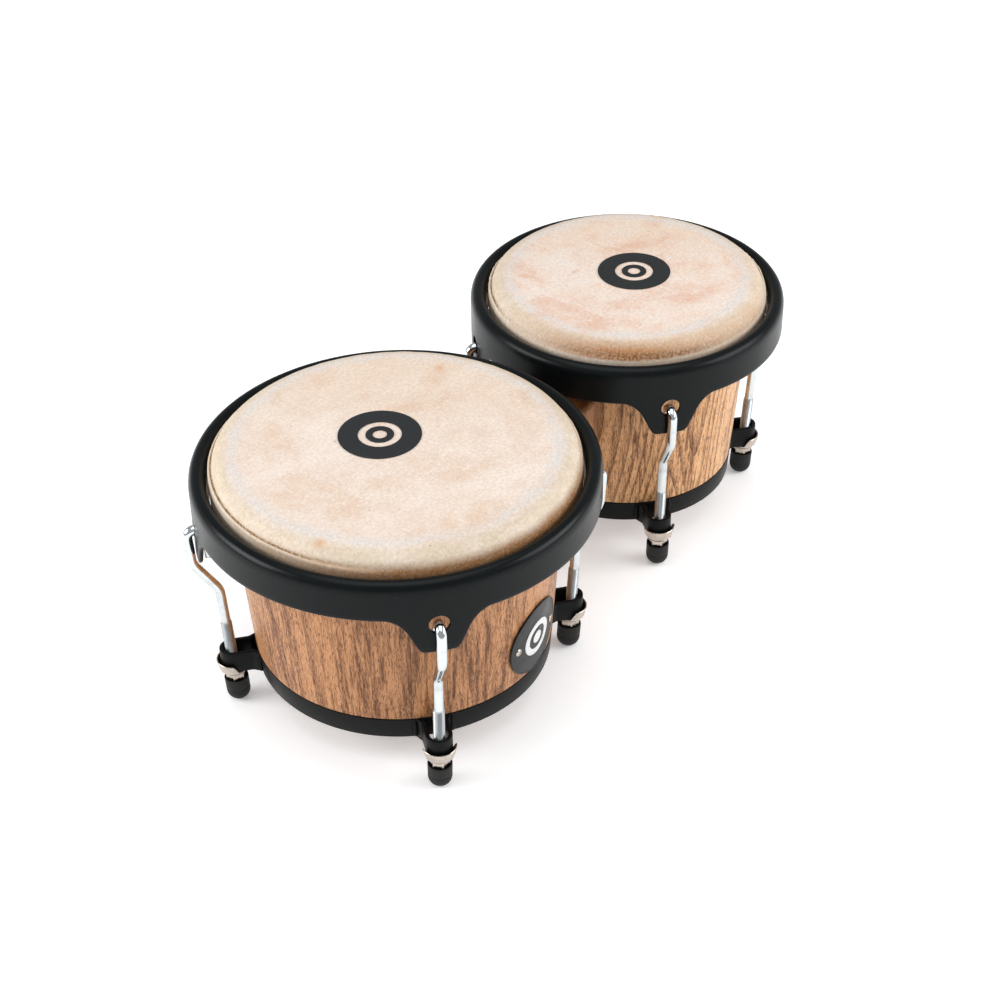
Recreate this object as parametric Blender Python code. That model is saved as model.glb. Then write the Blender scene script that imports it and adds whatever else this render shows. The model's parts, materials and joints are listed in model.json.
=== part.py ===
"""Bongo drums: two tapered wooden drums joined by a centre block, tuned by hook bolts.

Frame: +X runs from the large drum to the small one, +Z is up, and the origin is on the
floor at the centre of the pair. Lengths are in metres.
Each drum is modelled in its own frame, whose origin is on its axis at the underside of
the steel ring at its foot. The rubber boots on the tuning nuts hold it off the floor.
"""

from math import cos, pi, radians, sin, tan

import bmesh
import bpy
from mathutils import Matrix, Vector

MM = 0.001

# Driving dimensions of the pair
AXIS_DISTANCE = 242.0 * MM
FOOT_HEIGHT = 26.0 * MM
LUG_ANGLES = (-130.0, -40.0, 50.0, 140.0)
FIT_GAP = 0.3 * MM
SEGMENTS = 40

# Shell
SHELL_TAPER = 0.0765
SHELL_HEIGHT = 146.2 * MM
SHELL_WALL = 9.0 * MM
BEARING_ROUND = 6.0 * MM

# Steel ring and its welded U brackets
RING_HEIGHT = 14.4 * MM
RING_THICK = 2.5 * MM
BRACKET_HALF_WIDTH = 8.0 * MM
BRACKET_THICK = 2.5 * MM
BRACKET_FLARE = 3.0 * MM
BRACKET_WELD_DEPTH = 0.9 * MM

# Skin head and flesh hoop
SKIN_TOP = 148.0 * MM
SKIN_THICK = 1.2 * MM
SKIN_SHOULDER = 14.5 * MM
COLLAR_BOTTOM = 117.5 * MM
HOOP_BOTTOM = 119.0 * MM
HOOP_TOP = 125.7 * MM
HOOP_WIDTH = 6.0 * MM

# Rolled rim with four ears
RIM_BAND_BOTTOM = 113.0 * MM
RIM_BAND_TOP = 131.0 * MM
RIM_TOP = 138.0 * MM
RIM_LIP_BOTTOM = 126.0 * MM
RIM_THICK = 2.6 * MM
RIM_ROLL_WIDTH = 10.2 * MM
EAR_HOLE_HEIGHT = 108.5 * MM
EAR_HOLE_RADIUS = 6.0 * MM
# Distance from the ear's middle along the band, and height of the lower edge there
EAR_OUTLINE = ((0.0, 89.0), (10.7, 89.0), (13.0, 93.0), (15.7, 99.0), (18.8, 105.5),
               (23.5, 110.5), (29.0, 113.0))
BAND_STEPS = 7

# Hook bolt, in a frame whose +Z is the bolt's own leaning axis
LUG_LEAN = 3.5
LUG_INSET = 14.9 * MM
ROD_RADIUS = 3.1 * MM
THREAD_RADIUS = 3.55 * MM
THREAD_BOTTOM = -13.5 * MM
THREAD_TOP = 36.0 * MM
JOG_BOTTOM = 60.5 * MM
JOG_TOP = 83.0 * MM
JOG_OFFSET = 12.9 * MM
JOG_ROUND = 9.0 * MM
HOOK_BEND_HEIGHT = 102.2 * MM
HOOK_BEND_RADIUS = 5.3 * MM
HOOK_STUB_END = 84.0 * MM
ROD_SIDES = 8

# Saddle washer, flanged nut and rubber boot
WASHER_TOP = -0.3 * MM
WASHER_THICK = 1.8 * MM
WASHER_RADIUS = 8.7 * MM
WASHER_LIP_RADIUS = 10.4 * MM
WASHER_LIP_TOP = 6.0 * MM
BORE_RADIUS = 4.1 * MM
NUT_TOP = -2.9 * MM
NUT_BOTTOM = -12.0 * MM
NUT_FLANGE_RADIUS = 7.2 * MM
NUT_FLANGE_THICK = 1.6 * MM
NUT_ACROSS_FLATS = 11.0 * MM
BOOT_TOP = -8.5 * MM
BOOT_RADIUS = 7.4 * MM
BOOT_WALL = 0.75 * MM
BOOT_HOLLOW_BOTTOM = -19.0 * MM

# Badge on the large shell, and round marks on the skins
BADGE_ANGLE = -83.8
BADGE_HEIGHT = 41.0 * MM
BADGE_RADIUS = 25.0 * MM
BADGE_THICK = 1.0 * MM
BADGE_SCREW_OFFSET = 18.5 * MM
MARK_THICK = 0.4 * MM

# Centre block and its bolts
BLOCK_HALF_WIDTH = 28.0 * MM
BLOCK_BOTTOM = 30.0 * MM
BLOCK_TOP = 98.0 * MM
BLOCK_EDGE = 4.0 * MM
BLOCK_BOLT_HEIGHTS = (46.0 * MM, 82.0 * MM)
BLOCK_BOLT_RADIUS = 3.0 * MM
BLOCK_BOLT_DEPTH = 18.0 * MM
PLATE_HALF_WIDTH = 17.0 * MM
PLATE_THICK = 2.0 * MM

DRUMS = {
    "large": {"shell": 91.1 * MM, "rim": 122.0 * MM, "mark": 25.0 * MM,
              "mark_at": (1.5 * MM, 12.8 * MM), "side": 1.0},
    "small": {"shell": 72.9 * MM, "rim": 103.5 * MM, "mark": 24.0 * MM,
              "mark_at": (4.7 * MM, -2.1 * MM), "side": -1.0},
}
PAIR_CENTRE = (DRUMS["small"]["rim"] - DRUMS["large"]["rim"]) / 2
DRUMS["large"]["x"] = -AXIS_DISTANCE / 2 - PAIR_CENTRE
DRUMS["small"]["x"] = AXIS_DISTANCE / 2 - PAIR_CENTRE


# Scene and material helpers

def clear_scene():
    for item in list(bpy.data.objects):
        bpy.data.objects.remove(item, do_unlink=True)


def make_material(name, color, roughness, metallic=0.0):
    material = bpy.data.materials.new(name)
    material.use_nodes = True
    shader = material.node_tree.nodes["Principled BSDF"]
    shader.inputs["Base Color"].default_value = (*color, 1.0)
    shader.inputs["Roughness"].default_value = roughness
    shader.inputs["Metallic"].default_value = metallic
    material.diffuse_color = (*color, 1.0)
    return material


def finish_mesh(bm, name):
    """Turn every face outwards, and hand over a smooth mesh with sharp edges kept."""
    bmesh.ops.recalc_face_normals(bm, faces=bm.faces[:])
    mesh = bpy.data.meshes.new(name)
    bm.to_mesh(mesh)
    bm.free()
    mesh.shade_smooth()
    mesh.set_sharp_from_angle(angle=radians(35))
    return mesh


def add_object(name, mesh, material, parent=None, location=(0, 0, 0), rotation=(0, 0, 0)):
    item = bpy.data.objects.new(name, mesh)
    bpy.context.scene.collection.objects.link(item)
    item.parent = parent
    item.location = location
    item.rotation_euler = rotation
    if not mesh.materials:
        mesh.materials.append(material)
    return item


def add_empty(name, parent=None, location=(0, 0, 0), rotation=(0, 0, 0)):
    item = bpy.data.objects.new(name, None)
    bpy.context.scene.collection.objects.link(item)
    item.parent = parent
    item.location = location
    item.rotation_euler = rotation
    return item


def add_cutter(name, mesh, parent=None, location=(0, 0, 0), rotation=(0, 0, 0)):
    item = bpy.data.objects.new(name, mesh)
    bpy.context.scene.collection.objects.link(item)
    item.parent = parent
    item.location = location
    item.rotation_euler = rotation
    item.hide_render = True
    item.display_type = "WIRE"
    return item


def boolean(item, other, operation="DIFFERENCE"):
    modifier = item.modifiers.new(f"{operation} {other.name}", "BOOLEAN")
    modifier.operation = operation
    modifier.solver = "EXACT"
    modifier.object = other


# Shape helpers

def arc(centre, radius, start, end, steps):
    """Points (r, z) along an arc, from one angle in degrees to the other."""
    points = []
    for step in range(steps + 1):
        angle = radians(start + (end - start) * step / steps)
        points.append((centre[0] + radius * cos(angle), centre[1] + radius * sin(angle)))
    return points


def skin_columns(bm, columns, wrap_around, wrap_section):
    """Faces between neighbouring columns of vertices; a pole is one shared vertex."""
    count = len(columns)
    rows = len(columns[0])
    for index in range(count if wrap_around else count - 1):
        left = columns[index]
        right = columns[(index + 1) % count]
        for row in range(rows if wrap_section else rows - 1):
            following = (row + 1) % rows
            corners = []
            for vertex in (left[row], right[row], right[following], left[following]):
                if vertex not in corners:
                    corners.append(vertex)
            if len(corners) > 2:
                bm.faces.new(corners)


def turned(name, profile, segments=SEGMENTS, closed=True):
    """A profile (r, z) turned about Z. An open profile starts and ends on the axis."""
    bm = bmesh.new()
    poles = {}
    for row, (radius, height) in enumerate(profile):
        if radius < 1e-7:
            poles[row] = bm.verts.new((0, 0, height))
    columns = []
    for index in range(segments):
        # The first facet faces +X, so that a hole drilled along X lies within it
        angle = 2 * pi * (index + 0.5) / segments
        column = []
        for row, (radius, height) in enumerate(profile):
            point = (radius * cos(angle), radius * sin(angle), height)
            column.append(poles.get(row) or bm.verts.new(point))
        columns.append(column)
    skin_columns(bm, columns, True, closed)
    return finish_mesh(bm, name)


def tube(name, path, sides=ROD_SIDES):
    """A round rod along a path of (x, z, radius) points in the XZ plane."""
    bm = bmesh.new()
    rings = []
    for index, (x, z, radius) in enumerate(path):
        before = path[max(index - 1, 0)]
        after = path[min(index + 1, len(path) - 1)]
        along = Vector((after[0] - before[0], 0, after[1] - before[1])).normalized()
        across = along.cross(Vector((0, 1, 0)))
        ring = []
        for side in range(sides):
            angle = 2 * pi * (side + 0.5) / sides
            offset = Vector((0, 1, 0)) * cos(angle) + across * sin(angle)
            ring.append(bm.verts.new(Vector((x, 0, z)) + offset * radius))
        rings.append(ring)
    skin_columns(bm, rings, False, True)
    bm.faces.new(rings[0])
    bm.faces.new(rings[-1])
    return finish_mesh(bm, name)


def prism(name, outline, bottom, top):
    """A closed outline of (x, y) points, drawn up from one height to another."""
    bm = bmesh.new()
    columns = []
    for x, y in outline:
        columns.append([bm.verts.new((x, y, bottom)), bm.verts.new((x, y, top))])
    skin_columns(bm, columns, True, False)
    bm.faces.new([column[0] for column in columns])
    bm.faces.new([column[1] for column in columns])
    return finish_mesh(bm, name)


def shell_radius(drum, height):
    return drum["shell"] + SHELL_TAPER * height


# Shell, ring and skin

def shell_mesh(drum):
    rebate = RING_HEIGHT + FIT_GAP
    under_ring = RING_THICK
    top_radius = shell_radius(drum, SHELL_HEIGHT - BEARING_ROUND)
    profile = [
        (shell_radius(drum, 0) - SHELL_WALL, 0.0),
        (shell_radius(drum, 0) - under_ring, 0.0),
        (shell_radius(drum, rebate) - under_ring, rebate),
        (shell_radius(drum, rebate), rebate),
    ]
    rounded = (top_radius - BEARING_ROUND, SHELL_HEIGHT - BEARING_ROUND)
    profile += arc(rounded, BEARING_ROUND, 0, 90, 4)
    profile.append((top_radius - SHELL_WALL, SHELL_HEIGHT - 2 * MM))
    return turned("shell", profile)


def ring_mesh(drum):
    outer = shell_radius(drum, 0) + FIT_GAP
    slope = SHELL_TAPER * RING_HEIGHT
    profile = [
        (outer - RING_THICK, 0.0),
        (outer, 0.0),
        (outer + slope, RING_HEIGHT),
        (outer + slope - RING_THICK, RING_HEIGHT),
    ]
    return turned("ring", profile)


def bracket_mesh(drum):
    """A strap bent into a U, with its legs flared where they are welded to the ring."""
    reach = bolt_radius(drum) - shell_radius(drum, 0) + BRACKET_WELD_DEPTH
    outer = BRACKET_HALF_WIDTH
    inner = BRACKET_HALF_WIDTH - BRACKET_THICK
    outline = [(-reach, -outer - BRACKET_FLARE), (-reach + 4.5 * MM, -outer)]
    outline += arc((0, 0), outer, -90, 90, 8)
    outline += [(-reach + 4.5 * MM, outer), (-reach, outer + BRACKET_FLARE)]
    outline += [(-reach, inner + BRACKET_FLARE), (-reach + 3.5 * MM, inner)]
    outline += arc((0, 0), inner, 90, -90, 8)
    outline += [(-reach + 3.5 * MM, -inner), (-reach, -inner - BRACKET_FLARE)]
    return prism("bracket", outline, 0.0, RING_HEIGHT)


def head_mesh(drum):
    """The skin: flat top, round shoulder over the bearing edge, and a straight collar."""
    collar = hoop_inner(drum) - FIT_GAP
    centre = (collar - SKIN_SHOULDER, SKIN_TOP - SKIN_SHOULDER)
    outside = [(0.0, SKIN_TOP)] + arc(centre, SKIN_SHOULDER, 90, 0, 4)
    outside.append((collar, COLLAR_BOTTOM))
    inside = [(collar - SKIN_THICK, COLLAR_BOTTOM)]
    inside += arc(centre, SKIN_SHOULDER - SKIN_THICK, 0, 90, 4)
    inside.append((0.0, SKIN_TOP - SKIN_THICK))
    return turned("head", outside + inside, closed=False)


def hoop_inner(drum):
    return drum["rim"] - 11.5 * MM


def hoop_mesh(drum):
    inner = hoop_inner(drum)
    profile = [(inner, HOOP_BOTTOM), (inner + HOOP_WIDTH, HOOP_BOTTOM),
               (inner + HOOP_WIDTH, HOOP_TOP), (inner, HOOP_TOP)]
    return turned("hoop", profile)


# Rim

def rim_columns(drum):
    """Angle and lower edge height of each column round the band, ears included."""
    columns = []
    ear_end = EAR_OUTLINE[-1][0] * MM / drum["rim"]
    for lug in LUG_ANGLES:
        middle = radians(lug)
        for offset, height in reversed(EAR_OUTLINE[1:]):
            columns.append((middle - offset * MM / drum["rim"], height * MM))
        for offset, height in EAR_OUTLINE:
            columns.append((middle + offset * MM / drum["rim"], height * MM))
        gap = pi / 2 - 2 * ear_end
        for step in range(1, BAND_STEPS):
            angle = middle + ear_end + gap * step / BAND_STEPS
            columns.append((angle, RIM_BAND_BOTTOM))
    return columns


def roll(centre, width, height, start, end, steps):
    """Half an ellipse over the top of the band, as (r, z) points."""
    points = []
    for step in range(steps + 1):
        angle = radians(start + (end - start) * step / steps)
        points.append((centre + width * cos(angle), RIM_BAND_TOP + height * sin(angle)))
    return points


def rim_mesh(drum):
    outer = drum["rim"]
    middle = outer - RIM_ROLL_WIDTH / 2
    half = RIM_ROLL_WIDTH / 2
    rise = RIM_TOP - RIM_BAND_TOP
    upper = roll(middle, half, rise, 0, 180, 4)
    upper += [(outer - 2 * half, RIM_LIP_BOTTOM), (outer - 2 * half + RIM_THICK, RIM_LIP_BOTTOM)]
    upper += roll(middle, half - RIM_THICK, rise - RIM_THICK, 180, 0, 2)
    bm = bmesh.new()
    columns = []
    for angle, low in rim_columns(drum):
        section = [(outer, low)] + upper + [(outer - RIM_THICK, low)]
        column = []
        for radius, height in section:
            column.append(bm.verts.new((radius * cos(angle), radius * sin(angle), height)))
        columns.append(column)
    skin_columns(bm, columns, True, True)
    return finish_mesh(bm, "rim")


# Hook bolt and what is on it

def bolt_radius(drum):
    """Distance of a hook bolt's axis from the drum's axis, at the ring's underside."""
    return drum["rim"] - LUG_INSET


def bend(corner, before, after, radius, steps):
    """A round corner of a path: corner, and the points that it lies between."""
    back = (Vector(before) - Vector(corner)).normalized()
    ahead = (Vector(after) - Vector(corner)).normalized()
    half_angle = back.angle(ahead) / 2
    reach = radius / tan(half_angle)
    start = Vector(corner) + back * reach
    end = Vector(corner) + ahead * reach
    centre = Vector(corner) + (back + ahead).normalized() * (radius / sin(half_angle))
    points = []
    for step in range(steps + 1):
        chord = start.lerp(end, step / steps) - centre
        points.append(tuple(centre + chord.normalized() * radius))
    return points


def hook_mesh():
    lower = (0.0, JOG_BOTTOM)
    upper = (JOG_OFFSET, JOG_TOP)
    bottom = (0.0, THREAD_TOP)
    top = (JOG_OFFSET, HOOK_BEND_HEIGHT)
    taper = ROD_RADIUS * 0.25
    path = [(0.0, THREAD_BOTTOM, THREAD_RADIUS - taper)]
    path.append((0.0, THREAD_BOTTOM + taper, THREAD_RADIUS))
    path.append((0.0, THREAD_TOP, THREAD_RADIUS))
    path.append((0.0, THREAD_TOP + taper, ROD_RADIUS))
    for x, z in bend(lower, bottom, upper, JOG_ROUND, 2) + bend(upper, lower, top, JOG_ROUND, 2):
        path.append((x, z, ROD_RADIUS))
    centre = (JOG_OFFSET - HOOK_BEND_RADIUS, HOOK_BEND_HEIGHT)
    for x, z in arc(centre, HOOK_BEND_RADIUS, 0, 180, 6):
        path.append((x, z, ROD_RADIUS))
    path.append((JOG_OFFSET - 2 * HOOK_BEND_RADIUS, HOOK_STUB_END, ROD_RADIUS))
    return tube("hook", path)


def washer_mesh():
    """A dished washer whose lip rises round the bracket's end and fades towards the ring."""
    bm = bmesh.new()
    columns = []
    count = 18
    bottom = WASHER_TOP - WASHER_THICK
    for index in range(count):
        angle = 2 * pi * index / count
        from_front = abs((angle + pi) % (2 * pi) - pi)
        fade = min(max((radians(106) - from_front) / radians(24), 0.0), 1.0)
        lip = 1.5 * MM * fade
        high = WASHER_TOP + (WASHER_LIP_TOP - WASHER_TOP) * fade
        edge = WASHER_RADIUS + (WASHER_LIP_RADIUS - WASHER_RADIUS) * fade
        section = [
            (BORE_RADIUS, bottom),
            (WASHER_RADIUS - 0.2 * MM, bottom),
            (edge + 0.2 * MM, high - WASHER_THICK / 2 * (1 - fade)),
            (edge - lip * 0.6, high),
            (WASHER_RADIUS - lip * 0.25, WASHER_TOP),
            (BORE_RADIUS, WASHER_TOP),
        ]
        column = []
        for radius, height in section:
            column.append(bm.verts.new((radius * cos(angle), radius * sin(angle), height)))
        columns.append(column)
    skin_columns(bm, columns, True, True)
    return finish_mesh(bm, "washer")


def nut_mesh():
    """Hexagon nut with a round flange on top; both run round in twelve columns."""
    bm = bmesh.new()
    columns = []
    flat = NUT_ACROSS_FLATS / 2
    shoulder = NUT_TOP - NUT_FLANGE_THICK
    for index in range(12):
        angle = pi * index / 6
        hexagon = flat if index % 2 else flat / cos(pi / 6)
        section = [
            (BORE_RADIUS, NUT_TOP),
            (NUT_FLANGE_RADIUS, NUT_TOP),
            (NUT_FLANGE_RADIUS, shoulder + 0.5 * MM),
            (hexagon, shoulder),
            (hexagon, NUT_BOTTOM),
            (BORE_RADIUS, NUT_BOTTOM),
        ]
        column = []
        for radius, height in section:
            column.append(bm.verts.new((radius * cos(angle), radius * sin(angle), height)))
        columns.append(column)
    skin_columns(bm, columns, True, True)
    return finish_mesh(bm, "nut")


def boot_mesh():
    """A round cup with a domed bottom that stands on the floor."""
    socket = BOOT_RADIUS - BOOT_WALL
    floor = -FOOT_HEIGHT / cos(radians(LUG_LEAN))
    dome = BOOT_RADIUS
    # The dome's centre is one radius above the floor, measured straight up
    centre = floor + dome / cos(radians(LUG_LEAN))
    outside = [(0.0, centre - dome)] + arc((0, centre), dome, -68, 0, 4)
    outside.append((BOOT_RADIUS, BOOT_TOP))
    hollow = [(socket, BOOT_TOP), (socket, NUT_BOTTOM - FIT_GAP),
              (BORE_RADIUS, NUT_BOTTOM - FIT_GAP), (BORE_RADIUS, BOOT_HOLLOW_BOTTOM),
              (0.0, BOOT_HOLLOW_BOTTOM)]
    return turned("boot", outside + hollow, segments=10, closed=False)


# Badge, marks, block and fasteners

def badge_mesh(drum):
    """A round plate bent to the shell's cone, in the badge's own frame on the surface."""
    bm = bmesh.new()
    rows = 3
    columns = []
    count = 20
    faces = (FIT_GAP, FIT_GAP + BADGE_THICK)
    centre = [bm.verts.new((shell_radius(drum, BADGE_HEIGHT) + lift, 0, BADGE_HEIGHT))
              for lift in faces]
    for index in range(count):
        turn = 2 * pi * index / count
        inner_side = [centre[0]]
        outer_side = [centre[1]]
        for row in range(1, rows + 1):
            reach = BADGE_RADIUS * row / rows
            height = BADGE_HEIGHT + reach * sin(turn)
            angle = reach * cos(turn) / shell_radius(drum, BADGE_HEIGHT)
            for side, lift in zip((inner_side, outer_side), faces):
                radius = shell_radius(drum, height) + lift
                side.append(bm.verts.new((radius * cos(angle), radius * sin(angle), height)))
        columns.append(inner_side + outer_side[::-1])
    skin_columns(bm, columns, True, False)
    return finish_mesh(bm, "badge")


def screw_mesh(shank, head, thick, length, segments):
    """A domed head whose underside is at height 0, with its shank pointing down."""
    profile = [(0.0, thick), (head * 0.6, thick * 0.85), (head, thick * 0.25), (head, 0.0),
               (shank, 0.0), (shank, -length), (0.0, -length)]
    return turned("screw", profile, segments=segments, closed=False)


def block_mesh():
    """A block as wide as the gap between the shells; the shells' cones cut its ends."""
    low = BLOCK_BOTTOM
    high = BLOCK_TOP
    wide = BLOCK_HALF_WIDTH
    outline = []
    for y, z in ((-1, -1), (1, -1), (1, 1), (-1, 1)):
        corner = (y * (wide - BLOCK_EDGE), (low + high) / 2 + z * ((high - low) / 2 - BLOCK_EDGE))
        start = {(-1, -1): 180, (1, -1): 270, (1, 1): 0, (-1, 1): 90}[(y, z)]
        outline += arc(corner, BLOCK_EDGE, start, start + 90, 3)
    mesh = prism("block", outline, -AXIS_DISTANCE / 4, AXIS_DISTANCE / 4)
    # The outline's own axes become world Y and Z, and the draw direction world X
    mesh.transform(Matrix(((0, 0, 1, 0), (1, 0, 0, 0), (0, 1, 0, 0), (0, 0, 0, 1))))
    return mesh


def plate_mesh(drum):
    """A strip bent to the inside of the shell, behind the block's bolts."""
    low = BLOCK_BOLT_HEIGHTS[0] - 12 * MM
    high = BLOCK_BOLT_HEIGHTS[1] + 12 * MM
    bm = bmesh.new()
    columns = []
    steps = 6
    for step in range(steps + 1):
        offset = PLATE_HALF_WIDTH * (2 * step / steps - 1)
        angle = offset / (drum["shell"] - SHELL_WALL)
        column = []
        for height, lift in ((low, 0), (high, 0), (high, PLATE_THICK), (low, PLATE_THICK)):
            radius = shell_radius(drum, height) - SHELL_WALL - 3 * FIT_GAP - lift
            column.append(bm.verts.new((radius * cos(angle), radius * sin(angle), height)))
        columns.append(column)
    skin_columns(bm, columns, False, True)
    bm.faces.new(columns[0])
    bm.faces.new(columns[-1])
    return finish_mesh(bm, "plate")


# Assembly

def build_drum(label, drum, looks):
    """Everything on one drum except its lugs."""
    frame = add_empty(f"drum_{label}_frame", location=(drum["x"], 0, FOOT_HEIGHT))
    shell = add_object(f"shell_{label}", shell_mesh(drum), looks["wood"], frame)
    add_object(f"head_{label}", head_mesh(drum), looks["skin"], frame)
    mark = turned("mark", [(0, 0), (drum["mark"], 0), (drum["mark"], MARK_THICK), (0, MARK_THICK)],
                  segments=24, closed=False)
    add_object(f"head_mark_{label}", mark, looks["mark"], frame,
               (*drum["mark_at"], SKIN_TOP + FIT_GAP))
    ring = add_object(f"ring_{label}", ring_mesh(drum), looks["black_steel"], frame)
    rim_slide = add_empty(f"rim_{label}_slide", frame)
    rim = add_object(f"rim_{label}", rim_mesh(drum), looks["black_steel"], rim_slide)
    add_object(f"flesh_hoop_{label}", hoop_mesh(drum), looks["hoop"], rim_slide)
    return frame, shell, ring, rim


def add_lugs(label, drum, looks, frame, ring, rim):
    """The bracket, hook bolt, washer, nut and boot at each lug angle."""
    hook = hook_mesh()
    washer = washer_mesh()
    nut = nut_mesh()
    boot = boot_mesh()
    bracket = bracket_mesh(drum)
    hole = turned("ear hole", [(0, -8 * MM), (EAR_HOLE_RADIUS, -8 * MM),
                               (EAR_HOLE_RADIUS, 8 * MM), (0, 8 * MM)], segments=20, closed=False)
    lean = (0, radians(LUG_LEAN), 0)
    for number, angle in enumerate(LUG_ANGLES, 1):
        name = f"{label}_{number}"
        turn = add_empty(f"lug_{name}_angle", frame, rotation=(0, 0, radians(angle)))
        at = (bolt_radius(drum), 0, 0)
        axis = add_empty(f"lug_{name}_axis", turn, at, lean)
        add_object(f"hook_{name}", hook, looks["chrome"], axis)
        add_object(f"washer_{name}", washer, looks["nickel"], turn, at)
        add_object(f"nut_{name}", nut, looks["nickel"], axis)
        add_object(f"boot_{name}", boot, looks["rubber"], axis)
        boolean(ring, add_cutter(f"bracket_{name}_guide", bracket, turn, at), "UNION")
        at = (drum["rim"], 0, EAR_HOLE_HEIGHT)
        boolean(rim, add_cutter(f"ear_hole_{name}_cutter", hole, turn, at, (0, pi / 2, 0)))


def add_badge(drum, looks, frame, shell):
    turn = add_empty("badge_frame", frame, rotation=(0, 0, radians(BADGE_ANGLE)))
    badge = add_object("badge", badge_mesh(drum), looks["badge"], turn)
    screw = screw_mesh(1.1 * MM, 2.6 * MM, 1.2 * MM, 7 * MM, 12)
    pilot = screw_mesh(1.4 * MM, 1.4 * MM, 1 * MM, 8 * MM, 12)
    surface = shell_radius(drum, BADGE_HEIGHT) + 2 * FIT_GAP + BADGE_THICK
    for number, side in enumerate((-1, 1), 1):
        angle = side * BADGE_SCREW_OFFSET / shell_radius(drum, BADGE_HEIGHT)
        at = (surface * cos(angle), surface * sin(angle), BADGE_HEIGHT)
        facing = (0, pi / 2, angle)
        add_object(f"badge_screw_{number}", screw, looks["nickel"], turn, at, facing)
        cutter = add_cutter(f"badge_screw_{number}_cutter", pilot, turn, at, facing)
        boolean(badge, cutter)
        boolean(shell, cutter)


def add_block(looks, built):
    """The block between the shells, with two bolts and a bent plate on each side."""
    block = add_object("centre_block", block_mesh(), looks["block_wood"],
                       location=(-PAIR_CENTRE, 0, FOOT_HEIGHT))
    length = SHELL_WALL + PLATE_THICK + BLOCK_BOLT_DEPTH
    bolt = screw_mesh(BLOCK_BOLT_RADIUS, 7 * MM, 4 * MM, length, 12)
    clear = BLOCK_BOLT_RADIUS + FIT_GAP
    passage = screw_mesh(clear, clear, 1 * MM, length + 2 * MM, 12)
    for label, drum in DRUMS.items():
        frame, shell = built[label]
        facing = 0 if drum["side"] > 0 else pi
        turn = add_empty(f"block_side_{label}", frame, rotation=(0, 0, facing))
        plate = add_object(f"block_plate_{label}", plate_mesh(drum), looks["zinc"], turn)
        cone = [(0, 0), (shell_radius(drum, 0) + FIT_GAP, 0),
                (shell_radius(drum, SHELL_HEIGHT) + FIT_GAP, SHELL_HEIGHT), (0, SHELL_HEIGHT)]
        boolean(block, add_cutter(f"shell_{label}_cone", turned("cone", cone, closed=False), frame))
        for number, height in enumerate(BLOCK_BOLT_HEIGHTS, 1):
            seat = shell_radius(drum, height) - SHELL_WALL - 5 * FIT_GAP - PLATE_THICK
            at = (seat, 0, height)
            # The shank points outwards through the wall, so the head faces the drum's axis
            aim = (0, -pi / 2, 0)
            add_object(f"block_bolt_{label}_{number}", bolt, looks["zinc"], turn, at, aim)
            cutter = add_cutter(f"block_bolt_{label}_{number}_cutter", passage, turn, at, aim)
            for piece in (shell, plate, block):
                boolean(piece, cutter)


def main():
    clear_scene()
    looks = {
        "wood": make_material("shell_wood", (0.33, 0.16, 0.075), 0.42),
        "block_wood": make_material("block_wood", (0.30, 0.15, 0.075), 0.45),
        "skin": make_material("skin", (0.82, 0.68, 0.57), 0.6),
        "mark": make_material("head_mark", (0.045, 0.05, 0.052), 0.6),
        "black_steel": make_material("black_steel", (0.03, 0.031, 0.033), 0.38, 0.6),
        "hoop": make_material("flesh_hoop", (0.35, 0.34, 0.32), 0.5, 0.7),
        "chrome": make_material("chrome", (0.78, 0.8, 0.82), 0.12, 1.0),
        "nickel": make_material("nickel", (0.72, 0.67, 0.6), 0.3, 1.0),
        "zinc": make_material("zinc", (0.6, 0.6, 0.6), 0.4, 1.0),
        "rubber": make_material("rubber", (0.022, 0.022, 0.023), 0.75),
        "badge": make_material("badge_plate", (0.16, 0.16, 0.17), 0.4, 0.8),
    }
    built = {}
    for label, drum in DRUMS.items():
        frame, shell, ring, rim = build_drum(label, drum, looks)
        add_lugs(label, drum, looks, frame, ring, rim)
        built[label] = (frame, shell)
    add_badge(DRUMS["large"], looks, *built["large"])
    add_block(looks, built)


main()
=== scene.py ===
import json
from math import atan2, cos, degrees, pi, radians, sin, tan

import bmesh
import bpy
from mathutils import Matrix, Vector, noise


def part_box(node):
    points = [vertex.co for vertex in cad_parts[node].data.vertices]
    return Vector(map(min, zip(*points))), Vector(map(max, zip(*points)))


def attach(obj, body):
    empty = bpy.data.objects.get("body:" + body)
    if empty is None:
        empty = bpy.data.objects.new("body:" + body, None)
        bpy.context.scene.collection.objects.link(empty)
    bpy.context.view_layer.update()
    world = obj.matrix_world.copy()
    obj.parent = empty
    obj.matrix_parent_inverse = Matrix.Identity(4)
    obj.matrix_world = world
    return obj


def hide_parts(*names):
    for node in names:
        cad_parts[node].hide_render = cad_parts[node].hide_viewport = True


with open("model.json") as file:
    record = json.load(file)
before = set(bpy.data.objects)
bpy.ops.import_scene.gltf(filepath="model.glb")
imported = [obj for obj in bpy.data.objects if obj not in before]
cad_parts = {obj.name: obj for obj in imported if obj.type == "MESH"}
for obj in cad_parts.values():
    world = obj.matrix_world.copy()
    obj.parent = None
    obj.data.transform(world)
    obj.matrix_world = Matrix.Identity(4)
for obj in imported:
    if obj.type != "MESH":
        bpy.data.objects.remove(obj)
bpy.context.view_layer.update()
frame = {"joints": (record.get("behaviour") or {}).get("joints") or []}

# Lengths are in metres and angles in degrees. Each drum is modelled round its own axis,
# with height 0 at the underside of its foot ring, and then moved to its place in the frame.

MM = 0.001
UP = Vector((0, 0, 1))

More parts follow.
